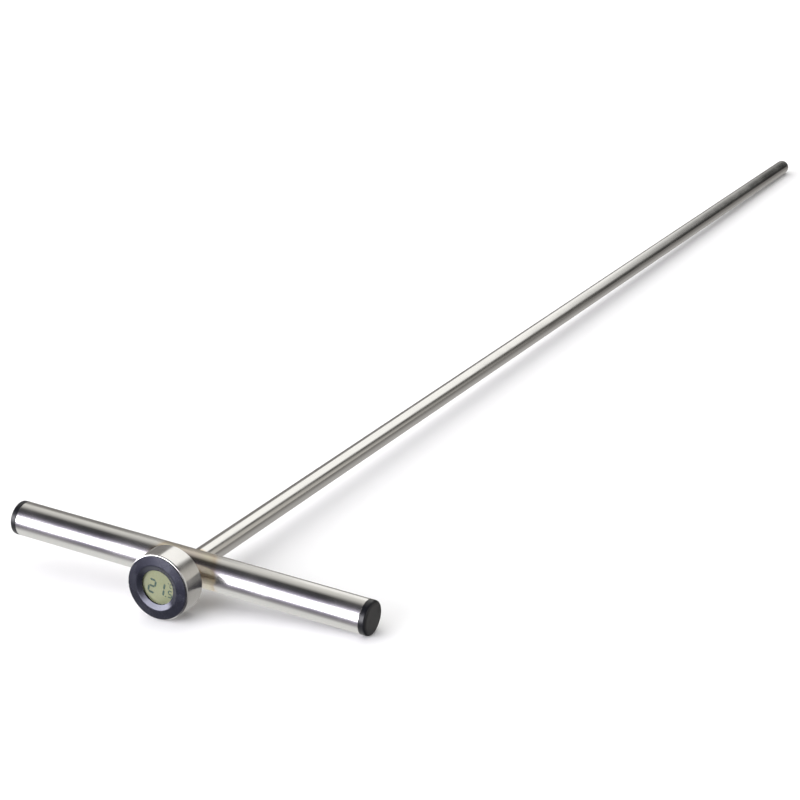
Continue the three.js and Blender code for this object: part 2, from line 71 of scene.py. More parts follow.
def turned(outline, steps=96):
    """A bmesh of corners (radius, place, rounding) spun about the Y axis. An outline with both ends on
    the axis stays open there, and any other is closed."""
    bm = bmesh.new()
    corners = [bm.verts.new((radius, place, 0)) for radius, place, _ in outline]
    for corner, following in zip(corners, corners[1:]):
        bm.edges.new((corner, following))
    if outline[0][0] > 0 or outline[-1][0] > 0:
        bm.edges.new((corners[-1], corners[0]))
    for corner, (_, _, rounding) in zip(corners, outline):
        if rounding > 0:
            bmesh.ops.bevel(bm, geom=[corner], offset=rounding, segments=4, profile=0.5,
                            affect="VERTICES", material=-1, clamp_overlap=True)
    bmesh.ops.spin(bm, geom=bm.verts[:] + bm.edges[:], cent=(0, 0, 0), axis=(0, 1, 0),
                   angle=FULL_TURN, steps=steps, use_merge=True, use_duplicate=False)
    bmesh.ops.remove_doubles(bm, verts=bm.verts[:], dist=SAME_PLACE)
    bmesh.ops.recalc_face_normals(bm, faces=bm.faces[:])
    return bm


def place(bm, matrix):
    """Moves and turns a bmesh into the frame."""
    bmesh.ops.transform(bm, matrix=matrix, verts=bm.verts[:])
    return bm


def smooth(mesh, crease=32):
    """Makes a mesh smooth except across edges sharper than the crease angle in degrees."""
    mesh.shade_smooth()
    mesh.set_sharp_from_angle(angle=math.radians(crease))


def new_piece(name, bm, material, crease=32):
    """An object at the origin, shaded with the crease angle."""
    mesh = bpy.data.meshes.new(name)
    bm.to_mesh(mesh)
    bm.free()
    piece = bpy.data.objects.new(name, mesh)
    bpy.context.scene.collection.objects.link(piece)
    mesh.materials.append(material)
    smooth(mesh, crease)
    return piece


def even_shading(piece):
    """Keeps flat faces flat next to their rounded edges."""
    modifier = piece.modifiers.new("even shading", "WEIGHTED_NORMAL")
    modifier.keep_sharp = True
    return piece


def carve(piece, cutters):
    """Cuts bmesh solids out of a piece, one after another, and leaves the result as its mesh."""
    for cutter in cutters:
        mesh = bpy.data.meshes.new("cutter")
        cutter.to_mesh(mesh)
        cutter.free()
        tool = bpy.data.objects.new("cutter", mesh)
        bpy.context.scene.collection.objects.link(tool)
        modifier = piece.modifiers.new("cut", "BOOLEAN")
        modifier.operation = "DIFFERENCE"
        modifier.solver = "EXACT"
        modifier.object = tool
        bpy.context.view_layer.update()
        evaluated = piece.evaluated_get(bpy.context.evaluated_depsgraph_get())
        result = bpy.data.meshes.new_from_object(evaluated)
        piece.modifiers.clear()
        piece.data = result
        bpy.data.objects.remove(tool)
    return piece


def add(tree, kind, inputs=None, **settings):
    """A node of a tree with its settings made, and its inputs given a value or linked to a socket."""
    node = tree.nodes.new(kind)
    for setting, value in settings.items():
        setattr(node, setting, value)
    for key, value in (inputs or {}).items():
        if isinstance(value, bpy.types.NodeSocket):
            tree.links.new(value, node.inputs[key])
        else:
            node.inputs[key].default_value = value
    return node


def math_node(tree, operation, first, second=0.0, third=0.0):
    return add(tree, "ShaderNodeMath", {0: first, 1: second, 2: third}, operation=operation).outputs[0]


def blend_colour(tree, factor, first, second, blend_type="MIX"):
    node = add(tree, "ShaderNodeMix", {0: factor, 6: first, 7: second}, data_type="RGBA",
               blend_type=blend_type)
    return node.outputs[2]


def span(tree, value, low, high, out_low=0.0, out_high=1.0, curve="SMOOTHSTEP"):
    """The value's place between low and high, as a smooth step from out_low to out_high."""
    node = add(tree, "ShaderNodeMapRange",
               {"Value": value, "From Min": low, "From Max": high,
                "To Min": out_low, "To Max": out_high}, interpolation_type=curve)
    return node.outputs[0]


def new_group(name, inputs, outputs):
    """An empty node group. inputs and outputs are (name, kind of socket, default)."""
    group = bpy.data.node_groups.new(name, "ShaderNodeTree")
    for sockets, direction in ((inputs, "INPUT"), (outputs, "OUTPUT")):
        for socket_name, kind, default in sockets:
            socket = group.interface.new_socket(name=socket_name, in_out=direction,
                                                socket_type="NodeSocket" + kind)
            if default is not None:
                socket.default_value = default
    return group, add(group, "NodeGroupInput").outputs, add(group, "NodeGroupOutput").inputs


def brushed_lines():
    """Fine parallel lines. The vector is already stretched, so that one unit is a line's width."""
    tree, given, put = new_group(
        "brushed lines",
        [("Vector", "Vector", None), ("Depth", "Float", 0.5)],
        [("Shade", "Float", None), ("Height", "Float", None)])
    fine = add(tree, "ShaderNodeTexNoise", {"Vector": given["Vector"], "Scale": 1.0, "Detail": 3.0,
                                            "Roughness": 0.7})
    broad = add(tree, "ShaderNodeTexNoise", {"Vector": given["Vector"], "Scale": 0.17, "Detail": 2.0})
    both = math_node(tree, "MULTIPLY_ADD", broad.outputs["Fac"], 0.6, fine.outputs["Fac"])
    centred = math_node(tree, "SUBTRACT", both, 0.8)
    shade = math_node(tree, "MULTIPLY", centred, given["Depth"])
    tree.links.new(shade, put["Shade"])
    tree.links.new(centred, put["Height"])
    return tree


def handling_marks():
    """Faint smears from hands: wide soft patches that change the roughness a little."""
    tree, given, put = new_group(
        "handling marks",
        [("Vector", "Vector", None), ("Patch Size", "Float", 0.02), ("Low", "Float", 0.2),
         ("High", "Float", 0.3)],
        [("Roughness", "Float", None)])
    scale = math_node(tree, "DIVIDE", 1.0, given["Patch Size"])
    patches = add(tree, "ShaderNodeTexNoise", {"Vector": given["Vector"], "Scale": scale, "Detail": 4.0,
                                               "Roughness": 0.6, "Distortion": 0.4})
    spread = span(tree, patches.outputs["Fac"], 0.35, 0.7, given["Low"], given["High"])
    tree.links.new(spread, put["Roughness"])
    return tree


def heat_tint():
    """The oxide colours around a weld: dull brown next to it, then straw, a tan ring and bare steel."""
    tree, given, put = new_group(
        "heat tint",
        [("Distance", "Float", 0.1), ("Reach", "Float", 0.01), ("Steel", "Color", (0.7, 0.7, 0.7, 1)),
         ("Vector", "Vector", None)],
        [("Color", "Color", None)])
    uneven = add(tree, "ShaderNodeTexNoise", {"Vector": given["Vector"], "Scale": 160.0, "Detail": 2.0})
    share = math_node(tree, "DIVIDE", given["Distance"], given["Reach"])
    place_in_tint = math_node(tree, "MULTIPLY_ADD", uneven.outputs["Fac"], 0.16, share)
    ramp = add(tree, "ShaderNodeValToRGB", {"Fac": place_in_tint})
    tints = ramp.color_ramp.elements
    tints[0].position, tints[0].color = 0.30, (0.62, 0.55, 0.55, 1)
    tints[1].position, tints[1].color = 1.0, (1, 1, 1, 1)
    for position, colour in ((0.50, (0.88, 0.80, 0.74, 1)), (0.74, (0.93, 0.88, 0.74, 1)),
                             (0.84, (0.90, 0.79, 0.65, 1)), (0.91, (0.98, 0.95, 0.91, 1))):
        tints.new(position).color = colour
    coloured = blend_colour(tree, 1.0, given["Steel"], ramp.outputs["Color"], "MULTIPLY")
    tree.links.new(coloured, put["Color"])
    return tree


BRUSHED_LINES = brushed_lines()
HANDLING_MARKS = handling_marks()
HEAT_TINT = heat_tint()


def grouped(tree, group, inputs):
    """The outputs of a shared node group with the given inputs."""
    return add(tree, "ShaderNodeGroup", inputs, node_tree=group).outputs


def vector_node(tree, operation, first, second=(0, 0, 0)):
    return add(tree, "ShaderNodeVectorMath", {0: first, 1: second}, operation=operation).outputs[0]


def length_of(tree, vector):
    return add(tree, "ShaderNodeVectorMath", {0: vector}, operation="LENGTH").outputs["Value"]


def add_bump(tree, shader, strength, distance, height):
    """Raises the surface by a height between 0 and 1 times the distance in metres."""
    bump = add(tree, "ShaderNodeBump", {"Strength": strength, "Distance": distance, "Height": height})
    tree.links.new(bump.outputs[0], shader["Normal"])


def new_material(name, **constants):
    """A material with its Principled BSDF. The constants are socket names with _ for each space."""
    material = bpy.data.materials.new(name)
    material.use_nodes = True
    tree = material.node_tree
    shader = tree.nodes["Principled BSDF"]
    for key, value in constants.items():
        shader.inputs[key.replace("_", " ")].default_value = value
    place_on_piece = add(tree, "ShaderNodeTexCoord").outputs["Object"]
    return material, tree, shader.inputs, place_on_piece


def brushed_steel(name, colour, stretch, roughness, centre, tangent_axis=None, tint=None, depth=0.12):
    """Stainless steel with fine lines. stretch gives the lines per metre along X, Y and Z from the
    centre. tint is (axes of the distance from the weld, centre of the weld, reach)."""
    material, tree, shader, here = new_material(name, Metallic=1.0)
    stretched = vector_node(tree, "MULTIPLY", vector_node(tree, "SUBTRACT", here, centre), stretch)
    lines = grouped(tree, BRUSHED_LINES, {"Vector": stretched, "Depth": depth})
    marks = grouped(tree, HANDLING_MARKS, {"Vector": here, "Patch Size": 0.035,
                                           "Low": roughness - 0.03, "High": roughness + 0.05})
    lightness = math_node(tree, "ADD", lines["Shade"], 1.0)
    shaded = blend_colour(tree, 1.0, (*colour, 1), lightness, "MULTIPLY")
    if tint:
        axes, weld_centre, reach = tint
        away = vector_node(tree, "MULTIPLY", vector_node(tree, "SUBTRACT", here, weld_centre), axes)
        shaded = grouped(tree, HEAT_TINT, {"Distance": length_of(tree, away), "Reach": reach,
                                           "Steel": shaded, "Vector": here})["Color"]
    tree.links.new(shaded, shader["Base Color"])
    uneven = math_node(tree, "MULTIPLY_ADD", lines["Shade"], 0.4, marks["Roughness"])
    tree.links.new(uneven, shader["Roughness"])
    add_bump(tree, shader, 0.05, 0.02 * MM, lines["Height"])
    if tangent_axis:
        shader["Anisotropic"].default_value = 0.45
        tangent = add(tree, "ShaderNodeTangent", direction_type="RADIAL", axis=tangent_axis)
        tree.links.new(tangent.outputs[0], shader["Tangent"])
    return material


STEEL = (0.74, 0.73, 0.71)
front_weld_place = handle_middle - Vector((0, handle_radius, 0))
handle_steel = brushed_steel(
    "handle steel", STEEL, stretch=(12, 1500, 1500), roughness=0.2, centre=handle_middle,
    tangent_axis="X", tint=((1, 1, 1), front_weld_place, 28 * MM))

probe_low, probe_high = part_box("probe_tube")
probe_radius = (probe_high.x - probe_low.x) / 2
probe_hole = probe_radius + fit_gap
cut_margin = 2.4 * MM  # past the hole, where the tube's long faces are divided before it is cut

bore = handle_radius - handle_wall
tube_bm = turned([
    (bore, -handle_half, tube_edge), (handle_radius, -handle_half, tube_edge),
    (handle_radius, handle_half, tube_edge), (bore, handle_half, tube_edge),
], steps=128)
for side in (-1, 1):
    bmesh.ops.bisect_plane(tube_bm, geom=tube_bm.verts[:] + tube_bm.edges[:] + tube_bm.faces[:],
                           plane_co=(0, side * (probe_hole + cut_margin), 0), plane_no=(0, 1, 0))
place(tube_bm, Matrix.Translation(handle_middle) @ ALONG_X)
handle_tube = new_piece("handle_tube_brushed", tube_bm, handle_steel)

hole_bm = bmesh.new()
bmesh.ops.create_cone(hole_bm, cap_ends=True, segments=64, radius1=probe_hole, radius2=probe_hole,
                      depth=4 * handle_radius)
place(hole_bm, Matrix.Translation(handle_middle) @ Matrix.Rotation(math.pi / 2, 4, "X"))
carve(handle_tube, [hole_bm])
even_shading(handle_tube)
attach(handle_tube, "frame")
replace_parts(handle_tube, "handle_tube")

# ------------------------------------------------------------------------------ end caps
# Pressed-in plugs moulded in black polyethylene: a flange with a wide rounding and a fine
# groove round its flat face, and a hollow stem with three ribs that grip the tube's bore.

cap_flange = 4 * MM
cap_edge = 1.5 * MM
stem_length = 14 * MM
stem_wall = 2 * MM
rib_count = 3
rib_height = 0.6 * MM
groove = {"width": 0.4 * MM, "depth": 0.15 * MM}
face_radius = handle_radius - cap_edge
cap_seat = 0.05 * MM  # from the tube's end to the flange
hollow_floor = -1 * MM
rib_profile = {"front": 0.8 * MM, "crest": 0.2 * MM, "back": -0.9 * MM}  # from the rib's middle


def moulded_grain():
    """The fine eroded texture of a moulding tool."""
    tree, given, put = new_group(
        "moulded grain", [("Vector", "Vector", None), ("Grain", "Float", 0.0004)],
        [("Height", "Float", None), ("Shade", "Float", None)])
    scale = math_node(tree, "DIVIDE", 1.0, given["Grain"])
    pits = add(tree, "ShaderNodeTexNoise", {"Vector": given["Vector"], "Scale": scale, "Detail": 3.0,
                                            "Roughness": 0.65})
    clouds = add(tree, "ShaderNodeTexNoise", {"Vector": given["Vector"], "Scale": 140.0, "Detail": 3.0})
    tree.links.new(pits.outputs["Fac"], put["Height"])
    tree.links.new(span(tree, clouds.outputs["Fac"], 0.3, 0.7), put["Shade"])
    return tree


def edge_wear():
    """A mask along rubbed edges, broken up by noise."""
    tree, given, put = new_group(
        "edge wear", [("Vector", "Vector", None), ("Radius", "Float", 0.0004), ("Amount", "Float", 0.6)],
        [("Mask", "Float", None)])
    rounded = add(tree, "ShaderNodeBevel", {"Radius": given["Radius"]}, samples=4)
    facing = add(tree, "ShaderNodeNewGeometry").outputs["Normal"]
    along = add(tree, "ShaderNodeVectorMath", {0: rounded.outputs[0], 1: facing},
                operation="DOT_PRODUCT").outputs["Value"]
    edge = span(tree, along, 0.995, 0.93)
    noise = add(tree, "ShaderNodeTexNoise", {"Vector": given["Vector"], "Scale": 900.0, "Detail": 3.0})
    broken = span(tree, noise.outputs["Fac"], 0.42, 0.62)
    worn = math_node(tree, "MULTIPLY", edge, broken)
    tree.links.new(math_node(tree, "MULTIPLY", worn, given["Amount"]), put["Mask"])
    return tree


MOULDED_GRAIN = moulded_grain()
EDGE_WEAR = edge_wear()


def moulded_plastic(name, colour, worn_colour, roughness, grain=0.35 * MM, bump_height=0.02 * MM,
                    wear=0.5, **constants):
    material, tree, shader, here = new_material(name, **constants)
    texture = grouped(tree, MOULDED_GRAIN, {"Vector": here, "Grain": grain})
    wear_mask = grouped(tree, EDGE_WEAR, {"Vector": here, "Radius": 0.35 * MM, "Amount": wear})["Mask"]
    marks = grouped(tree, HANDLING_MARKS, {"Vector": here, "Patch Size": 0.012,
                                           "Low": roughness - 0.05, "High": roughness + 0.08})
    darker = tuple(0.8 * channel for channel in colour)
    base = blend_colour(tree, texture["Shade"], (*colour, 1), (*darker, 1))
    tree.links.new(blend_colour(tree, wear_mask, base, (*worn_colour, 1)), shader["Base Color"])
    tree.links.new(marks["Roughness"], shader["Roughness"])
    add_bump(tree, shader, 0.5, bump_height, texture["Height"])
    return material


cap_plastic = moulded_plastic("cap plastic", (0.005, 0.0055, 0.008), (0.04, 0.04, 0.045), roughness=0.36)

stem = bore - fit_gap - rib_height
rib_pitch = stem_length / (rib_count + 1)
cap_outline = [
    (0, cap_flange, 0), (face_radius - groove["width"], cap_flange, 0.08 * MM),
    (face_radius - groove["width"] / 2, cap_flange - groove["depth"], 0.06 * MM),
    (face_radius, cap_flange - groove["depth"] / 2, 0), (handle_radius, cap_flange, cap_edge),
    (handle_radius, cap_seat, 0.15 * MM), (stem, cap_seat, 0),
]
for rib in range(1, rib_count + 1):
    middle = -rib * rib_pitch
    cap_outline += [(stem, middle + rib_profile["front"], 0),
                    (stem + rib_height, middle + rib_profile["crest"], 0.12 * MM),
                    (stem, middle + rib_profile["back"], 0)]
cap_outline += [(stem, -stem_length, 0.4 * MM), (stem - stem_wall, -stem_length, 0.3 * MM),
                (stem - stem_wall, hollow_floor, 0.5 * MM), (0, hollow_floor, 0)]
for cap_name, side in (("left_end_cap", -1), ("right_end_cap", 1)):
    cap_bm = turned(cap_outline, steps=96)
    tube_end = handle_middle + Vector((side * handle_half, 0, 0))
    facing_out = ALONG_X if side > 0 else ALONG_X.inverted()
    place(cap_bm, Matrix.Translation(tube_end) @ facing_out)
    end_cap = even_shading(new_piece(cap_name + "_moulded", cap_bm, cap_plastic, crease=40))
    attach(end_cap, "frame")
    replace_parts(end_cap, cap_name)

# ------------------------------------------------------------------------------ probe tube and tip
# A 12 mm stainless tube with a 1 mm wall, ground and brushed along its length, and a turned nose that
# is pressed in and welded flush. The heat of the two handle welds has tinted it where it comes out.

probe_wall = 1 * MM
probe_inner = probe_radius - probe_wall
_, tip_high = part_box("probe_tip")
dome_place = tip_high.y - probe_radius
spigot = {"length": 8 * MM, "bore_wall": 1.5 * MM}
nose = 5.2 * MM
seam = 0.04 * MM
probe_axis = Matrix.Translation((handle_middle.x, 0, handle_middle.z))

probe_steel = brushed_steel(
    "probe steel", STEEL, stretch=(1500, 12, 1500), roughness=0.15, centre=handle_middle,
    tangent_axis="Y", tint=((0, 1, 0), handle_middle, 13.5 * MM))
probe_bm = turned([
    (probe_inner, probe_low.y, 0.1 * MM), (probe_radius, probe_low.y, 0.1 * MM),
    (probe_radius, dome_place - seam, 0.05 * MM), (probe_inner, dome_place - seam, 0.05 * MM),
])
probe_tube = even_shading(new_piece("probe_tube_brushed", place(probe_bm, probe_axis), probe_steel))
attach(probe_tube, "frame")
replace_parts(probe_tube, "probe_tube")

tip_bore = probe_inner - fit_gap - spigot["bore_wall"]
tip_outline = [(0, tip_high.y, 0)]
dome_steps = 16
for step in range(1, dome_steps):
    turn = math.pi / 2 * (1 - step / dome_steps)
    tip_outline.append((probe_radius * math.cos(turn), dome_place + probe_radius * math.sin(turn), 0))
tip_outline += [
    (probe_radius, dome_place, 0.05 * MM), (probe_inner - fit_gap, dome_place, 0),
    (probe_inner - fit_gap, dome_place - spigot["length"], 0.3 * MM),
    (tip_bore, dome_place - spigot["length"], 0.2 * MM),
    (tip_bore, tip_high.y - nose, 0), (0, tip_high.y - nose + tip_bore / 3, 0),
]
probe_tip = new_piece("probe_tip_turned", place(turned(tip_outline), probe_axis), probe_steel)
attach(probe_tip, "frame")
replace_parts(probe_tip, "probe_tip")

# ------------------------------------------------------------------------------ welds
# Fillet beads of stainless filler around the probe: one on each side of the handle's wall, which
# follow the handle's round, and a ring bead at the back of the housing. Each shows its ripples.

weld_leg = 1.5 * MM
ripple_count = 34
ripple_height = 0.07 * MM


def weld_metal():
    material, tree, shader, here = new_material("weld metal", Metallic=1.0)
    grain = add(tree, "ShaderNodeTexNoise", {"Vector": here, "Scale": 700.0, "Detail": 3.0})
    ramp = add(tree, "ShaderNodeValToRGB", {"Fac": grain.outputs["Fac"]})
    tones = ramp.color_ramp.elements
    tones[0].position, tones[0].color = 0.35, (0.60, 0.53, 0.45, 1)
    tones[1].position, tones[1].color = 0.65, (0.78, 0.74, 0.68, 1)
    tree.links.new(ramp.outputs["Color"], shader["Base Color"])
    tree.links.new(span(tree, grain.outputs["Fac"], 0.3, 0.7, 0.22, 0.38), shader["Roughness"])
    add_bump(tree, shader, 0.3, 0.03 * MM, grain.outputs["Fac"])
    return material


WELD_METAL = weld_metal()


def weld_bead(name, foot_place, side, on_handle):
    """A ring of filler in the corner between the probe and what it passes through, bulging outwards."""
    bm = turned([
        (probe_radius, 0, 0), (probe_radius + weld_leg, 0, 0.2 * MM),
        (probe_radius + 0.62 * weld_leg, 0.62 * weld_leg, 0.5 * MM), (probe_radius, weld_leg, 0.2 * MM),
    ], steps=5 * ripple_count)
    for vert in bm.verts:
        around = math.atan2(vert.co.z, vert.co.x)
        out = Vector((vert.co.x, 0, vert.co.z)).normalized()
        raised = min(1.0, vert.co.y / (0.4 * weld_leg))
        vert.co += out * (ripple_height * raised * math.cos(ripple_count * around))
        if on_handle:
            vert.co.y += math.sqrt(handle_radius ** 2 - vert.co.z ** 2)
        vert.co.y *= side
    if side < 0:
        bmesh.ops.reverse_faces(bm, faces=bm.faces[:])
    place(bm, Matrix.Translation((handle_middle.x, foot_place, handle_middle.z)))
    bead = new_piece(name, bm, WELD_METAL, crease=60)
    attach(bead, "frame")
    return bead


housing_low, housing_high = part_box("display_housing")
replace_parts(weld_bead("front_weld_bead", handle_middle.y, -1, True), "front_weld")
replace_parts(weld_bead("rear_weld_bead", handle_middle.y, 1, True), "rear_weld")
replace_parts(weld_bead("housing_weld_bead", housing_high.y, 1, False), "housing_weld")

# ------------------------------------------------------------------------------ display housing
# A drum turned from stainless bar, open at the front, with the probe's tube welded into its back. Its
# wall and back keep the fine rings of the lathe, and the front lip is rounded over and polished.

housing_radius = (housing_high.x - housing_low.x) / 2
housing_wall = 2 * MM
housing_back = 1.5 * MM
lip_rounding = 0.8 * MM
housing_steps = 144


def lathe_rings():
    """A place on a turned face as (radius, place along Y), so that lines run around the axis."""
    tree, given, put = new_group("lathe rings", [("Vector", "Vector", None), ("Lines", "Float", 1400.0)],
                                 [("Vector", "Vector", None)])
    parts = add(tree, "ShaderNodeSeparateXYZ", {0: given["Vector"]}).outputs
    radius = math_node(tree, "SQRT", math_node(tree, "MULTIPLY_ADD", parts["X"], parts["X"],
                                               math_node(tree, "MULTIPLY", parts["Z"], parts["Z"])))
    across = add(tree, "ShaderNodeCombineXYZ", {"X": radius, "Y": parts["Y"]}).outputs[0]
    scaled = add(tree, "ShaderNodeVectorMath", {0: across, 3: given["Lines"]}, operation="SCALE")
    drift = add(tree, "ShaderNodeVectorMath", {0: given["Vector"], 3: 60.0}, operation="SCALE")
    total = vector_node(tree, "ADD", scaled.outputs[0], drift.outputs[0])
    tree.links.new(total, put["Vector"])
    return tree


LATHE_RINGS = lathe_rings()


def turned_metal(name, colour, roughness, centre, lines=1400.0, depth=0.10, tint_reach=None):
    """Metal with rings of fine lathe marks about an axis along Y through the centre."""
    material, tree, shader, here = new_material(name, Metallic=1.0)
    middle = vector_node(tree, "SUBTRACT", here, centre)
    rings = grouped(tree, LATHE_RINGS, {"Vector": middle, "Lines": lines})["Vector"]
    cut_lines = grouped(tree, BRUSHED_LINES, {"Vector": rings, "Depth": depth})
    marks = grouped(tree, HANDLING_MARKS, {"Vector": here, "Patch Size": 0.02,
                                           "Low": roughness - 0.03, "High": roughness + 0.05})
    shaded = blend_colour(tree, 1.0, (*colour, 1), math_node(tree, "ADD", cut_lines["Shade"], 1.0),
                          "MULTIPLY")
    if tint_reach:
        shaded = grouped(tree, HEAT_TINT, {"Distance": length_of(tree, middle), "Reach": tint_reach,
                                           "Steel": shaded, "Vector": here})["Color"]
    tree.links.new(shaded, shader["Base Color"])
    uneven = math_node(tree, "MULTIPLY_ADD", cut_lines["Shade"], 0.4, marks["Roughness"])
    tree.links.new(uneven, shader["Roughness"])
    add_bump(tree, shader, 0.04, 0.02 * MM, cut_lines["Height"])
    return material


housing_middle = Vector((handle_middle.x, housing_high.y, handle_middle.z))
housing_steel = turned_metal("housing steel", STEEL, 0.16, housing_middle, tint_reach=13 * MM)
housing_bore = housing_radius - housing_wall
housing_bm = turned([
    (probe_hole, housing_high.y, 0.1 * MM), (housing_radius, housing_high.y, 0.5 * MM),
    (housing_radius, housing_low.y, lip_rounding), (housing_bore, housing_low.y, 0.25 * MM),
    (housing_bore, housing_high.y - housing_back, 0.4 * MM),
    (probe_hole, housing_high.y - housing_back, 0.1 * MM),
], steps=housing_steps)
display_housing = even_shading(
    new_piece("display_housing_turned", place(housing_bm, probe_axis), housing_steel))
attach(display_housing, "frame")
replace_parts(display_housing, "display_housing")

# ------------------------------------------------------------------------------ seal ring
# A black rubber O-ring in the display's groove. It holds the display in the housing by friction. The real
# ring is pressed a little flat against the bore; here its section is drawn round.

ring_low, ring_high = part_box("seal_ring")
ring_section = (ring_high.y - ring_low.y) / 2
ring_radius = (ring_high.x - ring_low.x) / 2 - ring_section
ring_sides = 24


def soft_rubber(name, colour, roughness=0.62):
    material, tree, shader, here = new_material(name, Specular_IOR_Level=0.35)
    texture = grouped(tree, MOULDED_GRAIN, {"Vector": here, "Grain": 0.5 * MM})
    pale = tuple(1.6 * channel for channel in colour)
    bloom = blend_colour(tree, texture["Shade"], (*colour, 1), (*pale, 1))
    tree.links.new(bloom, shader["Base Color"])
    marks = grouped(tree, HANDLING_MARKS, {"Vector": here, "Patch Size": 0.006,
                                           "Low": roughness - 0.08, "High": roughness + 0.12})
    tree.links.new(marks["Roughness"], shader["Roughness"])
    add_bump(tree, shader, 0.4, 0.03 * MM, texture["Height"])
    return material


RUBBER = soft_rubber("black rubber", (0.014, 0.014, 0.015))
ring_bm = bmesh.new()
ring_circle = bmesh.ops.create_circle(ring_bm, segments=ring_sides, radius=ring_section)["verts"]
bmesh.ops.translate(ring_bm, verts=ring_circle, vec=(ring_radius, 0, 0))
bmesh.ops.spin(ring_bm, geom=ring_bm.verts[:] + ring_bm.edges[:], cent=(0, 0, 0), axis=(0, 1, 0),
               angle=FULL_TURN, steps=housing_steps, use_merge=True, use_duplicate=False)
bmesh.ops.recalc_face_normals(ring_bm, faces=ring_bm.faces[:])
place(ring_bm, Matrix.Translation((handle_middle.x, (ring_low.y + ring_high.y) / 2, handle_middle.z)))
seal_ring = new_piece("seal_ring_moulded", ring_bm, RUBBER, crease=80)
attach(seal_ring, "seal")
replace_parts(seal_ring, "seal_ring")

# ------------------------------------------------------------------------------ bezel
# The display's front shell, moulded in satin black: a ridged ring that dishes in to the window, a
# flange that stops on the housing's lip, and a skirt with the seal's groove and three screw bosses.

display_turn = math.radians(8)  # the round display sits turned a little in its housing
bezel_low, bezel_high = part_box("bezel_ring")
display_frame = (Matrix.Translation((handle_middle.x, bezel_low.y, handle_middle.z))
                 @ Matrix.Rotation(display_turn, 4, "Y"))
window_radius = 10.05 * MM
window_dip = 1.3 * MM
window_lip = 0.35 * MM
crest_radius = 13.1 * MM
bezel_radius = (bezel_high.x - bezel_low.x) / 2
bezel_rise = 0.65 * MM
flange_back = 1.35 * MM
skirt_radius = 16.2 * MM
skirt_inner = 14.6 * MM
skirt_end = bezel_high.y - bezel_low.y
pocket_radius = 11 * MM
boss_radius = 1.8 * MM
boss_circle = 13 * MM
boss_angles = (90, -15, 195)
boss_front = 2.65 * MM
boss_end = 6.35 * MM
screw_hole = 1.1 * MM
groove_front = 4.4 * MM
groove_back = 6.3 * MM
groove_floor = 15.5 * MM
wall_back = 2.75 * MM
rib_wall = 0.9 * MM
rib_back = 4.75 * MM

bezel_plastic = moulded_plastic("bezel plastic", (0.007, 0.008, 0.014), (0.05, 0.05, 0.07),
                                roughness=0.25, grain=0.3 * MM, bump_height=0.008 * MM, wear=0.25,
                                Specular_IOR_Level=1.0, Specular_Tint=(0.84, 0.86, 1.0, 1))
bezel_bm = turned([
    (window_radius, window_dip, 0.1 * MM), (crest_radius, 0, 0.5 * MM),
    (bezel_radius, bezel_rise, 0.18 * MM), (bezel_radius, flange_back, 0.1 * MM),
    (skirt_radius, flange_back, 0.1 * MM), (skirt_radius, groove_front, 0.12 * MM),
    (groove_floor, groove_front, 0.12 * MM), (groove_floor, groove_back, 0.12 * MM),
    (skirt_radius, groove_back, 0.12 * MM), (skirt_radius, skirt_end, 0.25 * MM),
    (skirt_inner, skirt_end, 0.1 * MM), (skirt_inner, wall_back, 0.2 * MM),
    (pocket_radius + rib_wall, wall_back, 0.2 * MM), (pocket_radius + rib_wall, rib_back, 0.15 * MM),
    (pocket_radius, rib_back, 0.15 * MM), (pocket_radius, window_dip + window_lip, 0),
    (window_radius, window_dip + window_lip, 0),
], steps=housing_steps)


def boss_place(angle):
    """The move from the display's axis to the boss at that angle."""
    turn = math.radians(angle)
    return Matrix.Translation((boss_circle * math.cos(turn), 0, boss_circle * math.sin(turn)))


def on_boss(bm, angle):
    return place(bm, boss_place(angle))


def merged(bm, others):
    """Adds the faces of other bmeshes to the first."""
    for other in others:
        mesh = bpy.data.meshes.new("part")
        other.to_mesh(mesh)
        other.free()
        bm.from_mesh(mesh)
        bpy.data.meshes.remove(mesh)
    return bm


bosses = [on_boss(turned([(screw_hole, boss_front, 0), (boss_radius, boss_front, 0),
                          (boss_radius, boss_end, 0.2 * MM), (screw_hole, boss_end, 0.15 * MM)],
                         steps=32), angle) for angle in boss_angles]
place(merged(bezel_bm, bosses), display_frame)
bezel_ring = even_shading(new_piece("bezel_ring_moulded", bezel_bm, bezel_plastic))
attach(bezel_ring, "display")
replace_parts(bezel_ring, "bezel_ring")

# ------------------------------------------------------------------------------ lens
# A clear disc of cast acrylic with a small chamfer, seated in the bezel's pocket over the display.

lens_low, lens_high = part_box("display_lens")
lens_radius = (lens_high.x - lens_low.x) / 2
lens_bm = turned([(0, lens_low.y, 0), (lens_radius, lens_low.y, 0.2 * MM),
                  (lens_radius, lens_high.y, 0.1 * MM), (0, lens_high.y, 0)])


def clear_acrylic():
    material, tree, shader, here = new_material("clear acrylic", IOR=1.49, Transmission_Weight=1.0)
    shader["Base Color"].default_value = (0.97, 0.985, 0.96, 1)
    haze = grouped(tree, HANDLING_MARKS,
                   {"Vector": here, "Patch Size": 0.005, "Low": 0.02, "High": 0.06})
    tree.links.new(haze["Roughness"], shader["Roughness"])
    return material


display_lens = even_shading(new_piece("display_lens_clear", place(lens_bm, probe_axis), clear_acrylic()))
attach(display_lens, "display")
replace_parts(display_lens, "display_lens")

# ------------------------------------------------------------------------------ liquid crystal display
# Two round sheets of glass with a grey-green polariser on the front, the rear one cropped where the
# connector strip touches. The lit segments are dark teal and read 21.5 in degrees Celsius.

lcd_low, lcd_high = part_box("lcd_panel")
lcd_radius = (lcd_high.x - lcd_low.x) / 2
lcd_step = 0.8 * MM
contact_ledge = 3 * MM


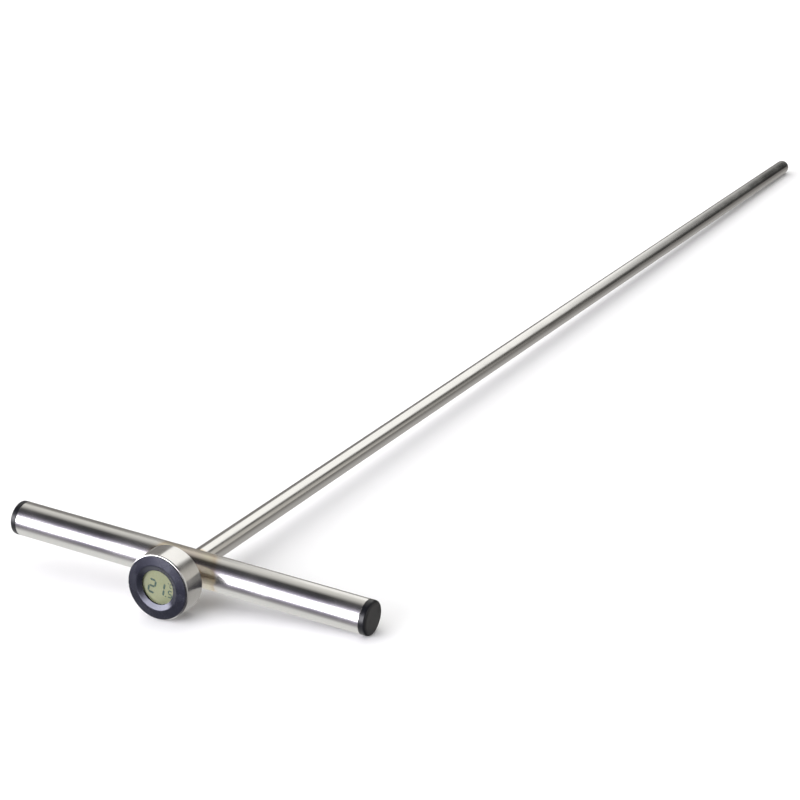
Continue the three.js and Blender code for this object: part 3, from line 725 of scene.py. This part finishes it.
def lcd_glass():
    material, tree, shader, here = new_material("lcd glass", Specular_IOR_Level=0.3)
    cells = add(tree, "ShaderNodeTexNoise", {"Vector": here, "Scale": 2600.0, "Detail": 2.0})
    patches = add(tree, "ShaderNodeTexNoise", {"Vector": here, "Scale": 90.0, "Detail": 2.0})
    tone = math_node(tree, "MULTIPLY_ADD", cells.outputs["Fac"], 0.35, patches.outputs["Fac"])
    greens = ((0.37, 0.385, 0.215, 1), (0.425, 0.44, 0.265, 1))
    tree.links.new(blend_colour(tree, span(tree, tone, 0.45, 0.95), *greens), shader["Base Color"])
    tree.links.new(span(tree, cells.outputs["Fac"], 0.3, 0.7, 0.3, 0.42), shader["Roughness"])
    return material


lcd_bm = turned([(0, lcd_low.y, 0), (lcd_radius, lcd_low.y, 0.05 * MM),
                 (lcd_radius, lcd_low.y + lcd_step, 0.05 * MM), (0, lcd_low.y + lcd_step, 0)])
rear_bm = turned([(0, lcd_low.y + lcd_step, 0), (lcd_radius, lcd_low.y + lcd_step, 0.05 * MM),
                  (lcd_radius, lcd_high.y, 0.05 * MM), (0, lcd_high.y, 0)])
cropped = bmesh.ops.bisect_plane(rear_bm, geom=rear_bm.verts[:] + rear_bm.edges[:] + rear_bm.faces[:],
                                 plane_co=(0, 0, lcd_radius - contact_ledge), plane_no=(0, 0, 1),
                                 clear_outer=True)
bmesh.ops.contextual_create(rear_bm, geom=[e for e in cropped["geom_cut"]
                                           if isinstance(e, bmesh.types.BMEdge)])
turn_display = probe_axis @ Matrix.Rotation(display_turn, 4, "Y")
lcd_panel = new_piece("lcd_panel_glass", place(merged(lcd_bm, [rear_bm]), turn_display), lcd_glass())
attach(lcd_panel, "display")
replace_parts(lcd_panel, "lcd_panel")

# Segments of a seven-segment digit, each as (x, z, upright) in half widths and half heights.
SEGMENTS = {"top": (0, 1, False), "middle": (0, 0, False), "bottom": (0, -1, False),
            "upper_left": (-1, 0.5, True), "upper_right": (1, 0.5, True),
            "lower_left": (-1, -0.5, True), "lower_right": (1, -0.5, True)}
DIGITS = {"1": ("upper_right", "lower_right"),
          "2": ("top", "upper_right", "middle", "lower_left", "bottom"),
          "5": ("top", "upper_left", "middle", "lower_right", "bottom"),
          "C": ("top", "upper_left", "lower_left", "bottom")}
segment_height = 0.03 * MM  # of the dark marks over the glass


def segment(bm, x, z, length, thickness, upright):
    """A flat bar with pointed ends, standing a little proud of the glass."""
    bar = bmesh.ops.create_circle(bm, cap_ends=True, segments=6, radius=length / 2)["verts"]
    for vert in bar:
        if abs(vert.co.x) > 0.1 * length:
            vert.co.x = math.copysign(thickness / 2, vert.co.x)
            vert.co.y = math.copysign((length - thickness) / 2, vert.co.y)
    lying = 0 if upright else math.pi / 2
    stand_up = Matrix.Rotation(math.pi / 2, 3, "X") @ Matrix.Rotation(lying, 3, "Z")
    bmesh.ops.rotate(bm, verts=bar, cent=(0, 0, 0), matrix=stand_up)
    bmesh.ops.translate(bm, verts=bar, vec=(x, -segment_height, z))
    raised = bmesh.ops.extrude_face_region(bm, geom=[bar[0].link_faces[0]])["geom"]
    moved = [v for v in raised if isinstance(v, bmesh.types.BMVert)]
    bmesh.ops.translate(bm, verts=moved, vec=(0, 0.9 * segment_height, 0))


def digit(bm, figure, x, z, width, height, thickness):
    gap = 0.16 * thickness
    for name in DIGITS[figure]:
        across, up, upright = SEGMENTS[name]
        long_side = (height / 2 if upright else width) - gap
        segment(bm, x + across * width / 2, z + up * height / 2, long_side, thickness, upright)


segments_bm = bmesh.new()
reading = [  # figure, then its x, z, width, height and stroke in millimetres
    ("2", -4.2, -1.1, 3.9, 7.7, 1.25), ("1", 1.5, -0.5, 3.9, 7.7, 1.25),
    ("5", 7.6, -1.7, 2.2, 3.9, 0.78), ("C", 7.5, 3.3, 1.4, 2.2, 0.58),
]
for figure, *sizes in reading:
    digit(segments_bm, figure, *(size * MM for size in sizes))
decimal_point = (5.1 * MM, -4.0 * MM, 0.55 * MM)
degree_sign = (5.7 * MM, 4.4 * MM, 0.45 * MM)
for dot_x, dot_z, dot_radius in (decimal_point, degree_sign):
    segment(segments_bm, dot_x, dot_z, 2 * dot_radius, 1.6 * dot_radius, False)
bmesh.ops.recalc_face_normals(segments_bm, faces=segments_bm.faces[:])
place(segments_bm, Matrix.Translation((handle_middle.x, lcd_low.y, handle_middle.z))
      @ Matrix.Rotation(display_turn, 4, "Y"))


def segment_ink():
    material, tree, shader, here = new_material("segment ink", Roughness=0.4)
    fade = add(tree, "ShaderNodeTexNoise", {"Vector": here, "Scale": 900.0, "Detail": 1.0})
    teals = ((0.014, 0.065, 0.048, 1), (0.028, 0.095, 0.070, 1))
    tree.links.new(blend_colour(tree, span(tree, fade.outputs["Fac"], 0.35, 0.65), *teals),
                   shader["Base Color"])
    return material


lcd_segments = new_piece("lcd_segments", segments_bm, segment_ink())
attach(lcd_segments, "display")

# ------------------------------------------------------------------------------ rear case
# The black cup that closes the display's back. It has the round opening of the battery door with two
# bayonet tracks, three sunk screw holes and the hole of the lead's grommet.

case_low, case_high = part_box("module_case")
case_front = case_low.y - bezel_low.y
case_back = case_high.y - bezel_low.y
case_wall = 1.4 * MM
case_floor = case_back - 1.2 * MM
door_low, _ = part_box("battery_door")
door_front = door_low.y - bezel_low.y
door_radius = 6 * MM
cell_drop = 8.6 * MM
lug_radius = 7.4 * MM
lug_height = 0.4 * MM
lug_span = math.radians(30)
door_rest = math.radians(-20)
door_opens = math.radians(40)
track_play = math.radians(3)
screw_head = 1.7 * MM
screw_sink = 0.6 * MM
grommet_waist = 1.5 * MM
cut_past = 1 * MM

case_plastic = moulded_plastic("case plastic", (0.020, 0.020, 0.021), (0.08, 0.08, 0.08), roughness=0.55,
                               grain=0.3 * MM, bump_height=0.03 * MM, wear=0.4)


def rod(radius, front, back, steps=64):
    """A plain round cutter along Y between two depths behind the bezel's crest."""
    bm = bmesh.new()
    bmesh.ops.create_cone(bm, cap_ends=True, segments=steps, radius1=radius, radius2=radius,
                          depth=back - front)
    return place(bm, Matrix.Translation((0, (front + back) / 2, 0))
                 @ Matrix.Rotation(-math.pi / 2, 4, "X"))


def sector(radius, start, end, front, back):
    """A slice of a disc about the Y axis. Angles turn from +X towards +Z."""
    bm = bmesh.new()
    centre = bm.verts.new((0, front, 0))
    rim = bm.verts.new((radius * math.cos(start), front, radius * math.sin(start)))
    edge = bm.edges.new((centre, rim))
    bmesh.ops.spin(bm, geom=[edge, centre, rim], cent=(0, 0, 0), axis=(0, -1, 0), angle=end - start,
                   steps=12, use_merge=False, use_duplicate=False)
    bmesh.ops.remove_doubles(bm, verts=bm.verts[:], dist=SAME_PLACE)
    lifted = bmesh.ops.extrude_face_region(bm, geom=bm.faces[:])["geom"]
    bmesh.ops.translate(bm, verts=[v for v in lifted if isinstance(v, bmesh.types.BMVert)],
                        vec=(0, back - front, 0))
    bmesh.ops.recalc_face_normals(bm, faces=bm.faces[:])
    return bm


def on_door(bm):
    """Moves a bmesh from the display's axis to the battery door's."""
    return place(bm, Matrix.Translation((0, 0, -cell_drop)))


case_bm = turned([
    (0, case_back, 0), (skirt_radius, case_back, 0.5 * MM), (skirt_radius, case_front, 0.15 * MM),
    (skirt_radius - case_wall, case_front, 0.1 * MM), (skirt_radius - case_wall, case_floor, 0.3 * MM),
    (0, case_floor, 0),
], steps=housing_steps)
module_case = new_piece("module_case_moulded", case_bm, case_plastic)
inside = case_floor - cut_past
outside = case_back + cut_past
track_back = door_front + lug_height + fit_gap
lug_half = lug_span / 2
cutters = [on_door(rod(door_radius + fit_gap, inside, outside, steps=96))]
for half_turn in (0, math.pi):
    cutters.append(on_door(sector(
        lug_radius + fit_gap, half_turn + door_rest - lug_half - track_play,
        half_turn + door_rest + door_opens + lug_half + track_play, inside, track_back)))
    cutters.append(on_door(sector(
        lug_radius + fit_gap, half_turn + door_rest + door_opens - lug_half - track_play,
        half_turn + door_rest + door_opens + lug_half + track_play, inside, outside)))
for angle in boss_angles:
    cutters.append(on_boss(rod(screw_hole, inside, outside, steps=32), angle))
    cutters.append(on_boss(rod(screw_head + fit_gap, case_back - screw_sink, outside, steps=48), angle))
cutters.append(rod(grommet_waist + fit_gap, inside, outside, steps=48))
carve(module_case, cutters)
module_case.data.transform(display_frame)
smooth(module_case.data)
softened = module_case.modifiers.new("softened edges", "BEVEL")
softened.width = 0.1 * MM
softened.segments = 2
softened.limit_method = "ANGLE"
softened.angle_limit = math.radians(50)
even_shading(module_case)
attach(module_case, "display")
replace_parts(module_case, "module_case")

# ------------------------------------------------------------------------------ battery door
# A black bayonet disc with a rounded edge, two lugs under the case's wall, a slot for a coin and a
# moulded pointer.

coin_slot = {"length": 8.4 * MM, "width": 1.2 * MM, "depth": 0.6 * MM}
pointer = {"radius": 0.55 * MM, "place": 4.9 * MM, "depth": 0.25 * MM}

door_bm = turned([(0, door_front, 0), (door_radius, door_front, 0.1 * MM),
                  (door_radius, case_back, 0.25 * MM), (0, case_back, 0)])
battery_door = new_piece("battery_door_moulded", door_bm, case_plastic)
slot_bm = bmesh.new()
bmesh.ops.create_cube(slot_bm, size=1)
bmesh.ops.scale(slot_bm, verts=slot_bm.verts[:],
                vec=(coin_slot["length"], 2 * coin_slot["depth"], coin_slot["width"]))
bmesh.ops.bevel(slot_bm, geom=slot_bm.edges[:], offset=0.25 * coin_slot["width"], segments=3,
                profile=0.5, affect="EDGES", material=-1)
place(slot_bm, Matrix.Translation((0, case_back, 0)) @ Matrix.Rotation(-door_rest, 4, "Y"))
pointer_bm = rod(pointer["radius"], case_back - pointer["depth"], outside, steps=3)
place(pointer_bm, Matrix.Rotation(-door_rest, 4, "Y") @ Matrix.Translation((0, 0, pointer["place"])))
carve(battery_door, [slot_bm, pointer_bm])
lugs_bm = bmesh.new()
lugs_bm.from_mesh(battery_door.data)
merged(lugs_bm, [sector(lug_radius, half_turn + door_rest - lug_half, half_turn + door_rest + lug_half,
                        door_front, door_front + lug_height) for half_turn in (0, math.pi)])
place(lugs_bm, display_frame @ Matrix.Translation((0, 0, -cell_drop)))
lugs_bm.to_mesh(battery_door.data)
lugs_bm.free()
smooth(battery_door.data)
even_shading(battery_door)
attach(battery_door, "door")
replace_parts(battery_door, "battery_door")

# ------------------------------------------------------------------------------ case screws
# Three zinc-plated slotted screws that clamp the case and the board against the bezel's bosses.

screw_low, screw_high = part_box("case_screw_1")
screw_top = screw_high.y - bezel_low.y
screw_seat = screw_top - 0.9 * MM
screw_tip = screw_low.y - bezel_low.y
screw_shank = 0.8 * MM
screw_slot = {"width": 0.5 * MM, "depth": 0.4 * MM}
thread_pitch = 0.5 * MM
screw_turns = (20, -35, 75)  # degrees that each slot came to rest at

screw_metal = turned_metal("screw metal", (0.66, 0.67, 0.68), 0.28, handle_middle, lines=5000.0)
thread = []
place_on_shank = screw_tip + 0.5 * MM
while place_on_shank < boss_end:
    thread += [(screw_shank - 0.16 * MM, place_on_shank, 0),
               (screw_shank, place_on_shank + thread_pitch / 2, 0)]
    place_on_shank += thread_pitch
for number, (angle, slot_turn) in enumerate(zip(boss_angles, screw_turns), start=1):
    screw_bm = turned([(0, screw_tip, 0), (screw_shank - 0.3 * MM, screw_tip, 0), *thread,
                       (screw_shank, screw_seat, 0), (screw_head, screw_seat, 0.1 * MM),
                       (screw_head, screw_top, 0.35 * MM), (0, screw_top, 0)], steps=48)
    screw = new_piece(f"case_screw_{number}_slotted", screw_bm, screw_metal)
    slot_bm = bmesh.new()
    bmesh.ops.create_cube(slot_bm, size=1)
    bmesh.ops.scale(slot_bm, verts=slot_bm.verts[:],
                    vec=(3 * screw_head, 2 * screw_slot["depth"], screw_slot["width"]))
    place(slot_bm, Matrix.Translation((0, screw_top, 0))
          @ Matrix.Rotation(math.radians(slot_turn), 4, "Y"))
    carve(screw, [slot_bm])
    screw.data.transform(display_frame @ boss_place(angle))
    smooth(screw.data)
    even_shading(screw)
    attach(screw, "display")
    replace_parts(screw, f"case_screw_{number}")

# ------------------------------------------------------------------------------ grommet and lead
# A soft rubber bush clipped into the case's back, and the display's own two-wire lead. The lead runs
# straight out and then lies in waves inside the probe.

grommet_low, grommet_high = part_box("cable_grommet")
lead_low, lead_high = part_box("module_lead")
lead_radius = 0.8 * MM
lead_wave = 2.6 * MM
lead_waves = 2
sleeve_half = 10 * MM
grommet_bore = lead_radius + fit_gap
grommet_flange = (grommet_high.x - grommet_low.x) / 2
grommet_outside = grommet_high.y
grommet_inside = grommet_low.y
case_outer_face = case_high.y

grommet_bm = turned([
    (grommet_bore, grommet_inside, 0.1 * MM), (grommet_flange, grommet_inside, 0.15 * MM),
    (grommet_flange, grommet_inside + 0.5 * MM, 0.1 * MM),
    (grommet_waist, grommet_inside + 0.5 * MM, 0), (grommet_waist, case_outer_face + fit_gap, 0),
    (grommet_flange, case_outer_face + fit_gap, 0.12 * MM), (grommet_flange, grommet_outside, 0.25 * MM),
    (grommet_bore, grommet_outside, 0.15 * MM),
], steps=48)
cable_grommet = even_shading(new_piece("cable_grommet_moulded", place(grommet_bm, probe_axis), RUBBER))
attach(cable_grommet, "display")
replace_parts(cable_grommet, "cable_grommet")


def cable_jacket():
    material, tree, shader, here = new_material("cable jacket", Coat_Weight=0.1)
    texture = grouped(tree, MOULDED_GRAIN, {"Vector": here, "Grain": 0.6 * MM})
    tree.links.new(blend_colour(tree, texture["Shade"], (0.11, 0.11, 0.115, 1), (0.15, 0.15, 0.16, 1)),
                   shader["Base Color"])
    marks = grouped(tree, HANDLING_MARKS, {"Vector": here, "Patch Size": 0.004, "Low": 0.34, "High": 0.5})
    tree.links.new(marks["Roughness"], shader["Roughness"])
    add_bump(tree, shader, 0.4, 0.02 * MM, texture["Height"])
    return material


CABLE_JACKET = cable_jacket()
slack_start = housing_high.y + 4 * MM
lead_end = lead_high.y
route = [(0, lead_low.y), (0, case_outer_face), (0, slack_start)]
quarter_waves = 4 * lead_waves
for quarter in range(1, quarter_waves):
    along = slack_start + (lead_end - sleeve_half - slack_start) * quarter / quarter_waves
    route.append((lead_wave * math.sin(quarter * math.pi / 2), along))
route += [(0, lead_end - sleeve_half), (0, lead_end)]
lead_curve = bpy.data.curves.new("module_lead_wire", "CURVE")
lead_curve.dimensions = "3D"
lead_curve.bevel_depth = lead_radius
lead_curve.bevel_resolution = 6
lead_curve.resolution_u = 16
lead_curve.use_fill_caps = True
spline = lead_curve.splines.new("NURBS")
spline.points.add(len(route) - 1)
spline.order_u = 3
spline.use_endpoint_u = True
for point, (rise, along) in zip(spline.points, route):
    point.co = (handle_middle.x, along, handle_middle.z + rise, 1)
curve_object = bpy.data.objects.new("module_lead_wire", lead_curve)
bpy.context.scene.collection.objects.link(curve_object)
bpy.context.view_layer.update()
lead_mesh = bpy.data.meshes.new_from_object(curve_object.evaluated_get(
    bpy.context.evaluated_depsgraph_get()))
bpy.data.objects.remove(curve_object)
module_lead = bpy.data.objects.new("module_lead_wire", lead_mesh)
bpy.context.scene.collection.objects.link(module_lead)
lead_mesh.materials.clear()
lead_mesh.materials.append(CABLE_JACKET)
smooth(lead_mesh, crease=40)
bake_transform(module_lead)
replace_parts(module_lead, "module_lead")

# ------------------------------------------------------------------------------ pieces inside
# Sealed inside the display and the probe: reflector film, striped connector, circuit board, resin
# drop, button cell and its two contacts; splice sleeve, sensor cable, thermistor and its potting.


def inner_finish(name, first, second, scale, roughness, metallic=0.0, stretch=(1, 1, 1)):
    """Two tones in a stretched noise, with the roughness moving a little with them."""
    material, tree, shader, here = new_material(name, Metallic=metallic)
    stretched = vector_node(tree, "MULTIPLY", here, stretch)
    noise = add(tree, "ShaderNodeTexNoise", {"Vector": stretched, "Scale": scale, "Detail": 3.0})
    fac = span(tree, noise.outputs["Fac"], 0.35, 0.65)
    tree.links.new(blend_colour(tree, fac, (*first, 1), (*second, 1)), shader["Base Color"])
    tree.links.new(span(tree, noise.outputs["Fac"], 0.3, 0.7, roughness - 0.06, roughness + 0.08),
                   shader["Roughness"])
    add_bump(tree, shader, 0.3, 0.02 * MM, noise.outputs["Fac"])
    return material


def board_laminate():
    """Green solder mask with paler copper tracks under it, in a rectangular maze."""
    material, tree, shader, here = new_material("board laminate", Coat_Weight=0.3)
    tracks = add(tree, "ShaderNodeTexVoronoi", {"Vector": here, "Scale": 520.0}, distance="CHEBYCHEV",
                 feature="F1")
    copper = span(tree, tracks.outputs["Distance"], 0.42, 0.46)
    tree.links.new(blend_colour(tree, copper, (0.012, 0.10, 0.045, 1), (0.03, 0.20, 0.08, 1)),
                   shader["Base Color"])
    tree.links.new(span(tree, tracks.outputs["Distance"], 0.2, 0.6, 0.28, 0.4), shader["Roughness"])
    add_bump(tree, shader, 0.4, 0.03 * MM, copper)
    return material


def striped_rubber():
    """Black conducting layers between grey rubber ones, across the strip."""
    material, tree, shader, here = new_material("striped rubber", Roughness=0.6)
    bands = add(tree, "ShaderNodeTexWave", {"Vector": here, "Scale": 900.0, "Distortion": 0.3},
                wave_type="BANDS", bands_direction="X")
    stripes = blend_colour(tree, span(tree, bands.outputs["Fac"], 0.4, 0.6), (0.012, 0.012, 0.012, 1),
                           (0.16, 0.15, 0.14, 1))
    tree.links.new(stripes, shader["Base Color"])
    return material


cell_low, cell_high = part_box("button_cell")
inner_finishes = {
    "lcd_reflector": inner_finish(
        "reflector film", (0.74, 0.75, 0.73), (0.80, 0.81, 0.79), 900, 0.38, 1.0),
    "zebra_strip": striped_rubber(),
    "circuit_board": board_laminate(),
    "chip_blob": inner_finish(
        "black resin", (0.010, 0.010, 0.011), (0.016, 0.016, 0.017), 300, 0.18),
    "button_cell": turned_metal("cell metal", (0.78, 0.78, 0.77), 0.26, (cell_low + cell_high) / 2),
    "splice_sleeve": inner_finish(
        "shrink sleeve", (0.016, 0.016, 0.018), (0.026, 0.026, 0.028), 500, 0.5),
    "sensor_cable": CABLE_JACKET,
    "thermistor_bead": inner_finish(
        "bead resin", (0.012, 0.012, 0.014), (0.02, 0.02, 0.022), 900, 0.22),
    "tip_potting": inner_finish(
        "potting resin", (0.02, 0.019, 0.018), (0.032, 0.03, 0.028), 600, 0.4),
}
spring_bronze = inner_finish("spring bronze", (0.74, 0.55, 0.30), (0.80, 0.63, 0.38), 400, 0.28, 1.0,
                             stretch=(0.2, 4, 4))
inner_finishes["front_contact"] = inner_finishes["rim_contact"] = spring_bronze
for node, finish in inner_finishes.items():
    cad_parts[node].data.materials.clear()
    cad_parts[node].data.materials.append(finish)

# ------------------------------------------------------------------------------ floor, light, camera
# A pale floor that touches the drum, the probe's tip and one end cap, so the object lies on it. The
# light is a soft white room with a tall softbox in front, a dark card above it and a dark doorway
# behind, which draw the bands on the steel.

drum_reach = housing_radius
tip_reach = probe_radius
slope_run = dome_place - housing_high.y
slope = math.atan((drum_reach - tip_reach) / slope_run)
cap_arm = handle_half + cap_flange - cap_edge
roll = math.asin((drum_reach - handle_radius) / cap_arm)
floor_size = 30.0
floor_bm = bmesh.new()
bmesh.ops.create_grid(floor_bm, x_segments=1, y_segments=1, size=floor_size / 2)
floor_turn = Matrix.Rotation(-roll, 4, "Y") @ Matrix.Rotation(slope, 4, "X")
down = -(floor_turn @ Vector((0, 0, 1)))
under_drum = Vector((handle_middle.x, housing_high.y, handle_middle.z)) + down * drum_reach
place(floor_bm, Matrix.Translation(under_drum) @ floor_turn)


def floor_paint():
    material, tree, shader, here = new_material("floor paint")
    tone = add(tree, "ShaderNodeTexNoise", {"Vector": here, "Scale": 3.0, "Detail": 3.0})
    tree.links.new(blend_colour(tree, tone.outputs["Fac"], (0.93, 0.93, 0.93, 1), (0.95, 0.95, 0.95, 1)),
                   shader["Base Color"])
    shader["Roughness"].default_value = 0.8
    shader["Specular IOR Level"].default_value = 0.1
    return material


floor = new_piece("floor", floor_bm, floor_paint())
floor.visible_glossy = False

# The light of a wide overcast sky, which the steel and the glass don't mirror.
key_data = bpy.data.lights.new("skylight", "SUN")
key_data.energy = 2.4
key_data.angle = math.radians(105)
key_light = bpy.data.objects.new("skylight", key_data)
key_light.rotation_euler = Vector((0.45, 0.2, -1)).to_track_quat("-Z", "Y").to_euler()
key_light.visible_glossy = False
key_light.visible_transmission = False
bpy.context.scene.collection.objects.link(key_light)

world = bpy.data.worlds.new("studio")
bpy.context.scene.world = world
world.use_nodes = True
room = world.node_tree
toward = add(room, "ShaderNodeTexCoord").outputs["Generated"]
parts = add(room, "ShaderNodeSeparateXYZ", {0: toward}).outputs
ahead = math_node(room, "MULTIPLY", parts["Y"], -1.0)
around = math_node(room, "ARCTAN2", parts["Z"], ahead)  # 0 to the front, a quarter turn overhead
turn_share = span(room, around, -math.pi, math.pi, curve="LINEAR")
front_ramp = add(room, "ShaderNodeValToRGB", {"Fac": turn_share})
stops = front_ramp.color_ramp.elements
# The room from under the object, past the floor, the softbox and the dark card, to overhead and behind.
room_tones = [
    (-135, (0.80, 0.80, 0.79)), (-66, (0.88, 0.88, 0.87)), (-48, (0.34, 0.33, 0.35)),
    (-32, (0.19, 0.18, 0.21)), (-22, (0.30, 0.28, 0.37)), (-14, (0.75, 0.70, 0.92)),
    (-6, (7.5, 7.4, 7.8)), (23, (7.5, 7.4, 7.8)), (30, (1.3, 1.25, 1.5)), (36, (0.62, 0.58, 0.74)),
    (46, (0.20, 0.18, 0.24)), (60, (0.05, 0.05, 0.06)), (88, (0.04, 0.04, 0.04)),
    (106, (0.58, 0.57, 0.55)), (125, (0.84, 0.83, 0.79)), (178, (0.80, 0.79, 0.76)),
]
for index, (degrees, tone) in enumerate(room_tones):
    stop = stops[index] if index < 2 else stops.new((degrees + 180) / 360)
    stop.position = (degrees + 180) / 360
    stop.color = (*tone, 1)


def toward_point(azimuth, elevation):
    """A direction: azimuth from straight behind towards +X, elevation over the horizon, in degrees."""
    across, up = math.radians(azimuth), math.radians(elevation)
    return (math.sin(across) * math.cos(up), math.cos(across) * math.cos(up), math.sin(up))


def disc(azimuth, elevation, inner, outer):
    """A soft-edged round patch of the room, 1 inside and 0 outside."""
    along = add(room, "ShaderNodeVectorMath", {0: toward, 1: toward_point(azimuth, elevation)},
                operation="DOT_PRODUCT").outputs["Value"]
    return span(room, along, math.cos(math.radians(outer)), math.cos(math.radians(inner)))


behind = blend_colour(room, span(room, parts["Z"], 0.05, 0.24), (0.20, 0.20, 0.19, 1),
                      (1.25, 1.24, 1.21, 1))
sideways = math_node(room, "ARCTAN2", parts["X"], parts["Y"])
right_of = span(room, sideways, math.radians(15), math.radians(25))
behind = blend_colour(room, right_of, behind, (0.12, 0.115, 0.11, 1))
far_right = span(room, sideways, math.radians(28), math.radians(36))
behind = blend_colour(room, far_right, behind, (0.60, 0.58, 0.54, 1))
behind = blend_colour(room, disc(2, 2, 20, 29), behind, (0.03, 0.03, 0.03, 1))
behind = blend_colour(room, span(room, parts["X"], -0.435, -0.485), behind, (0.25, 0.24, 0.23, 1))
low = blend_colour(room, span(room, parts["Z"], -0.05, -0.50), (0.22, 0.21, 0.20, 1),
                   (0.46, 0.45, 0.435, 1))
below = span(room, parts["Z"], -0.01, 0.05, 1.0, 0.0)
behind = blend_colour(room, below, behind, low)
front_right = blend_colour(room, span(room, parts["X"], -0.12, 0.12), front_ramp.outputs["Color"],
                           (0.07, 0.07, 0.08, 1))
lit_side = blend_colour(room, span(room, parts["Z"], -0.30, 0.25), (0.40, 0.39, 0.38, 1),
                        (0.85, 0.84, 0.82, 1))
front_right = blend_colour(room, span(room, parts["X"], 0.62, 0.76), front_right, lit_side)
everywhere = blend_colour(room, span(room, parts["Y"], 0.60, 0.72), front_right, behind)
seen = add(room, "ShaderNodeLightPath").outputs["Is Camera Ray"]
background = room.nodes["Background"]
room.links.new(blend_colour(room, seen, everywhere, (1, 1, 1, 1)), background.inputs["Color"])

bpy.context.scene.view_settings.view_transform = "Standard"

# The camera stands above and to the right, about 1.2 m from the display, with a 100 mm lens.
eye = Vector((0.5983, -1.4391, 0.5644))
camera_azimuth = math.radians(26.646)
camera_elevation = math.radians(21.578)
camera_roll = math.radians(3.062)
camera_data = bpy.data.cameras.new("camera")
camera_data.lens = 100
camera_data.sensor_width = 36
camera_data.clip_start = 0.01
camera = bpy.data.objects.new("camera", camera_data)
camera.matrix_world = (Matrix.Translation(eye) @ Matrix.Rotation(camera_azimuth, 4, "Z")
                       @ Matrix.Rotation(math.pi / 2 - camera_elevation, 4, "X")
                       @ Matrix.Rotation(camera_roll, 4, "Z"))
bpy.context.scene.collection.objects.link(camera)
bpy.context.scene.camera = camera
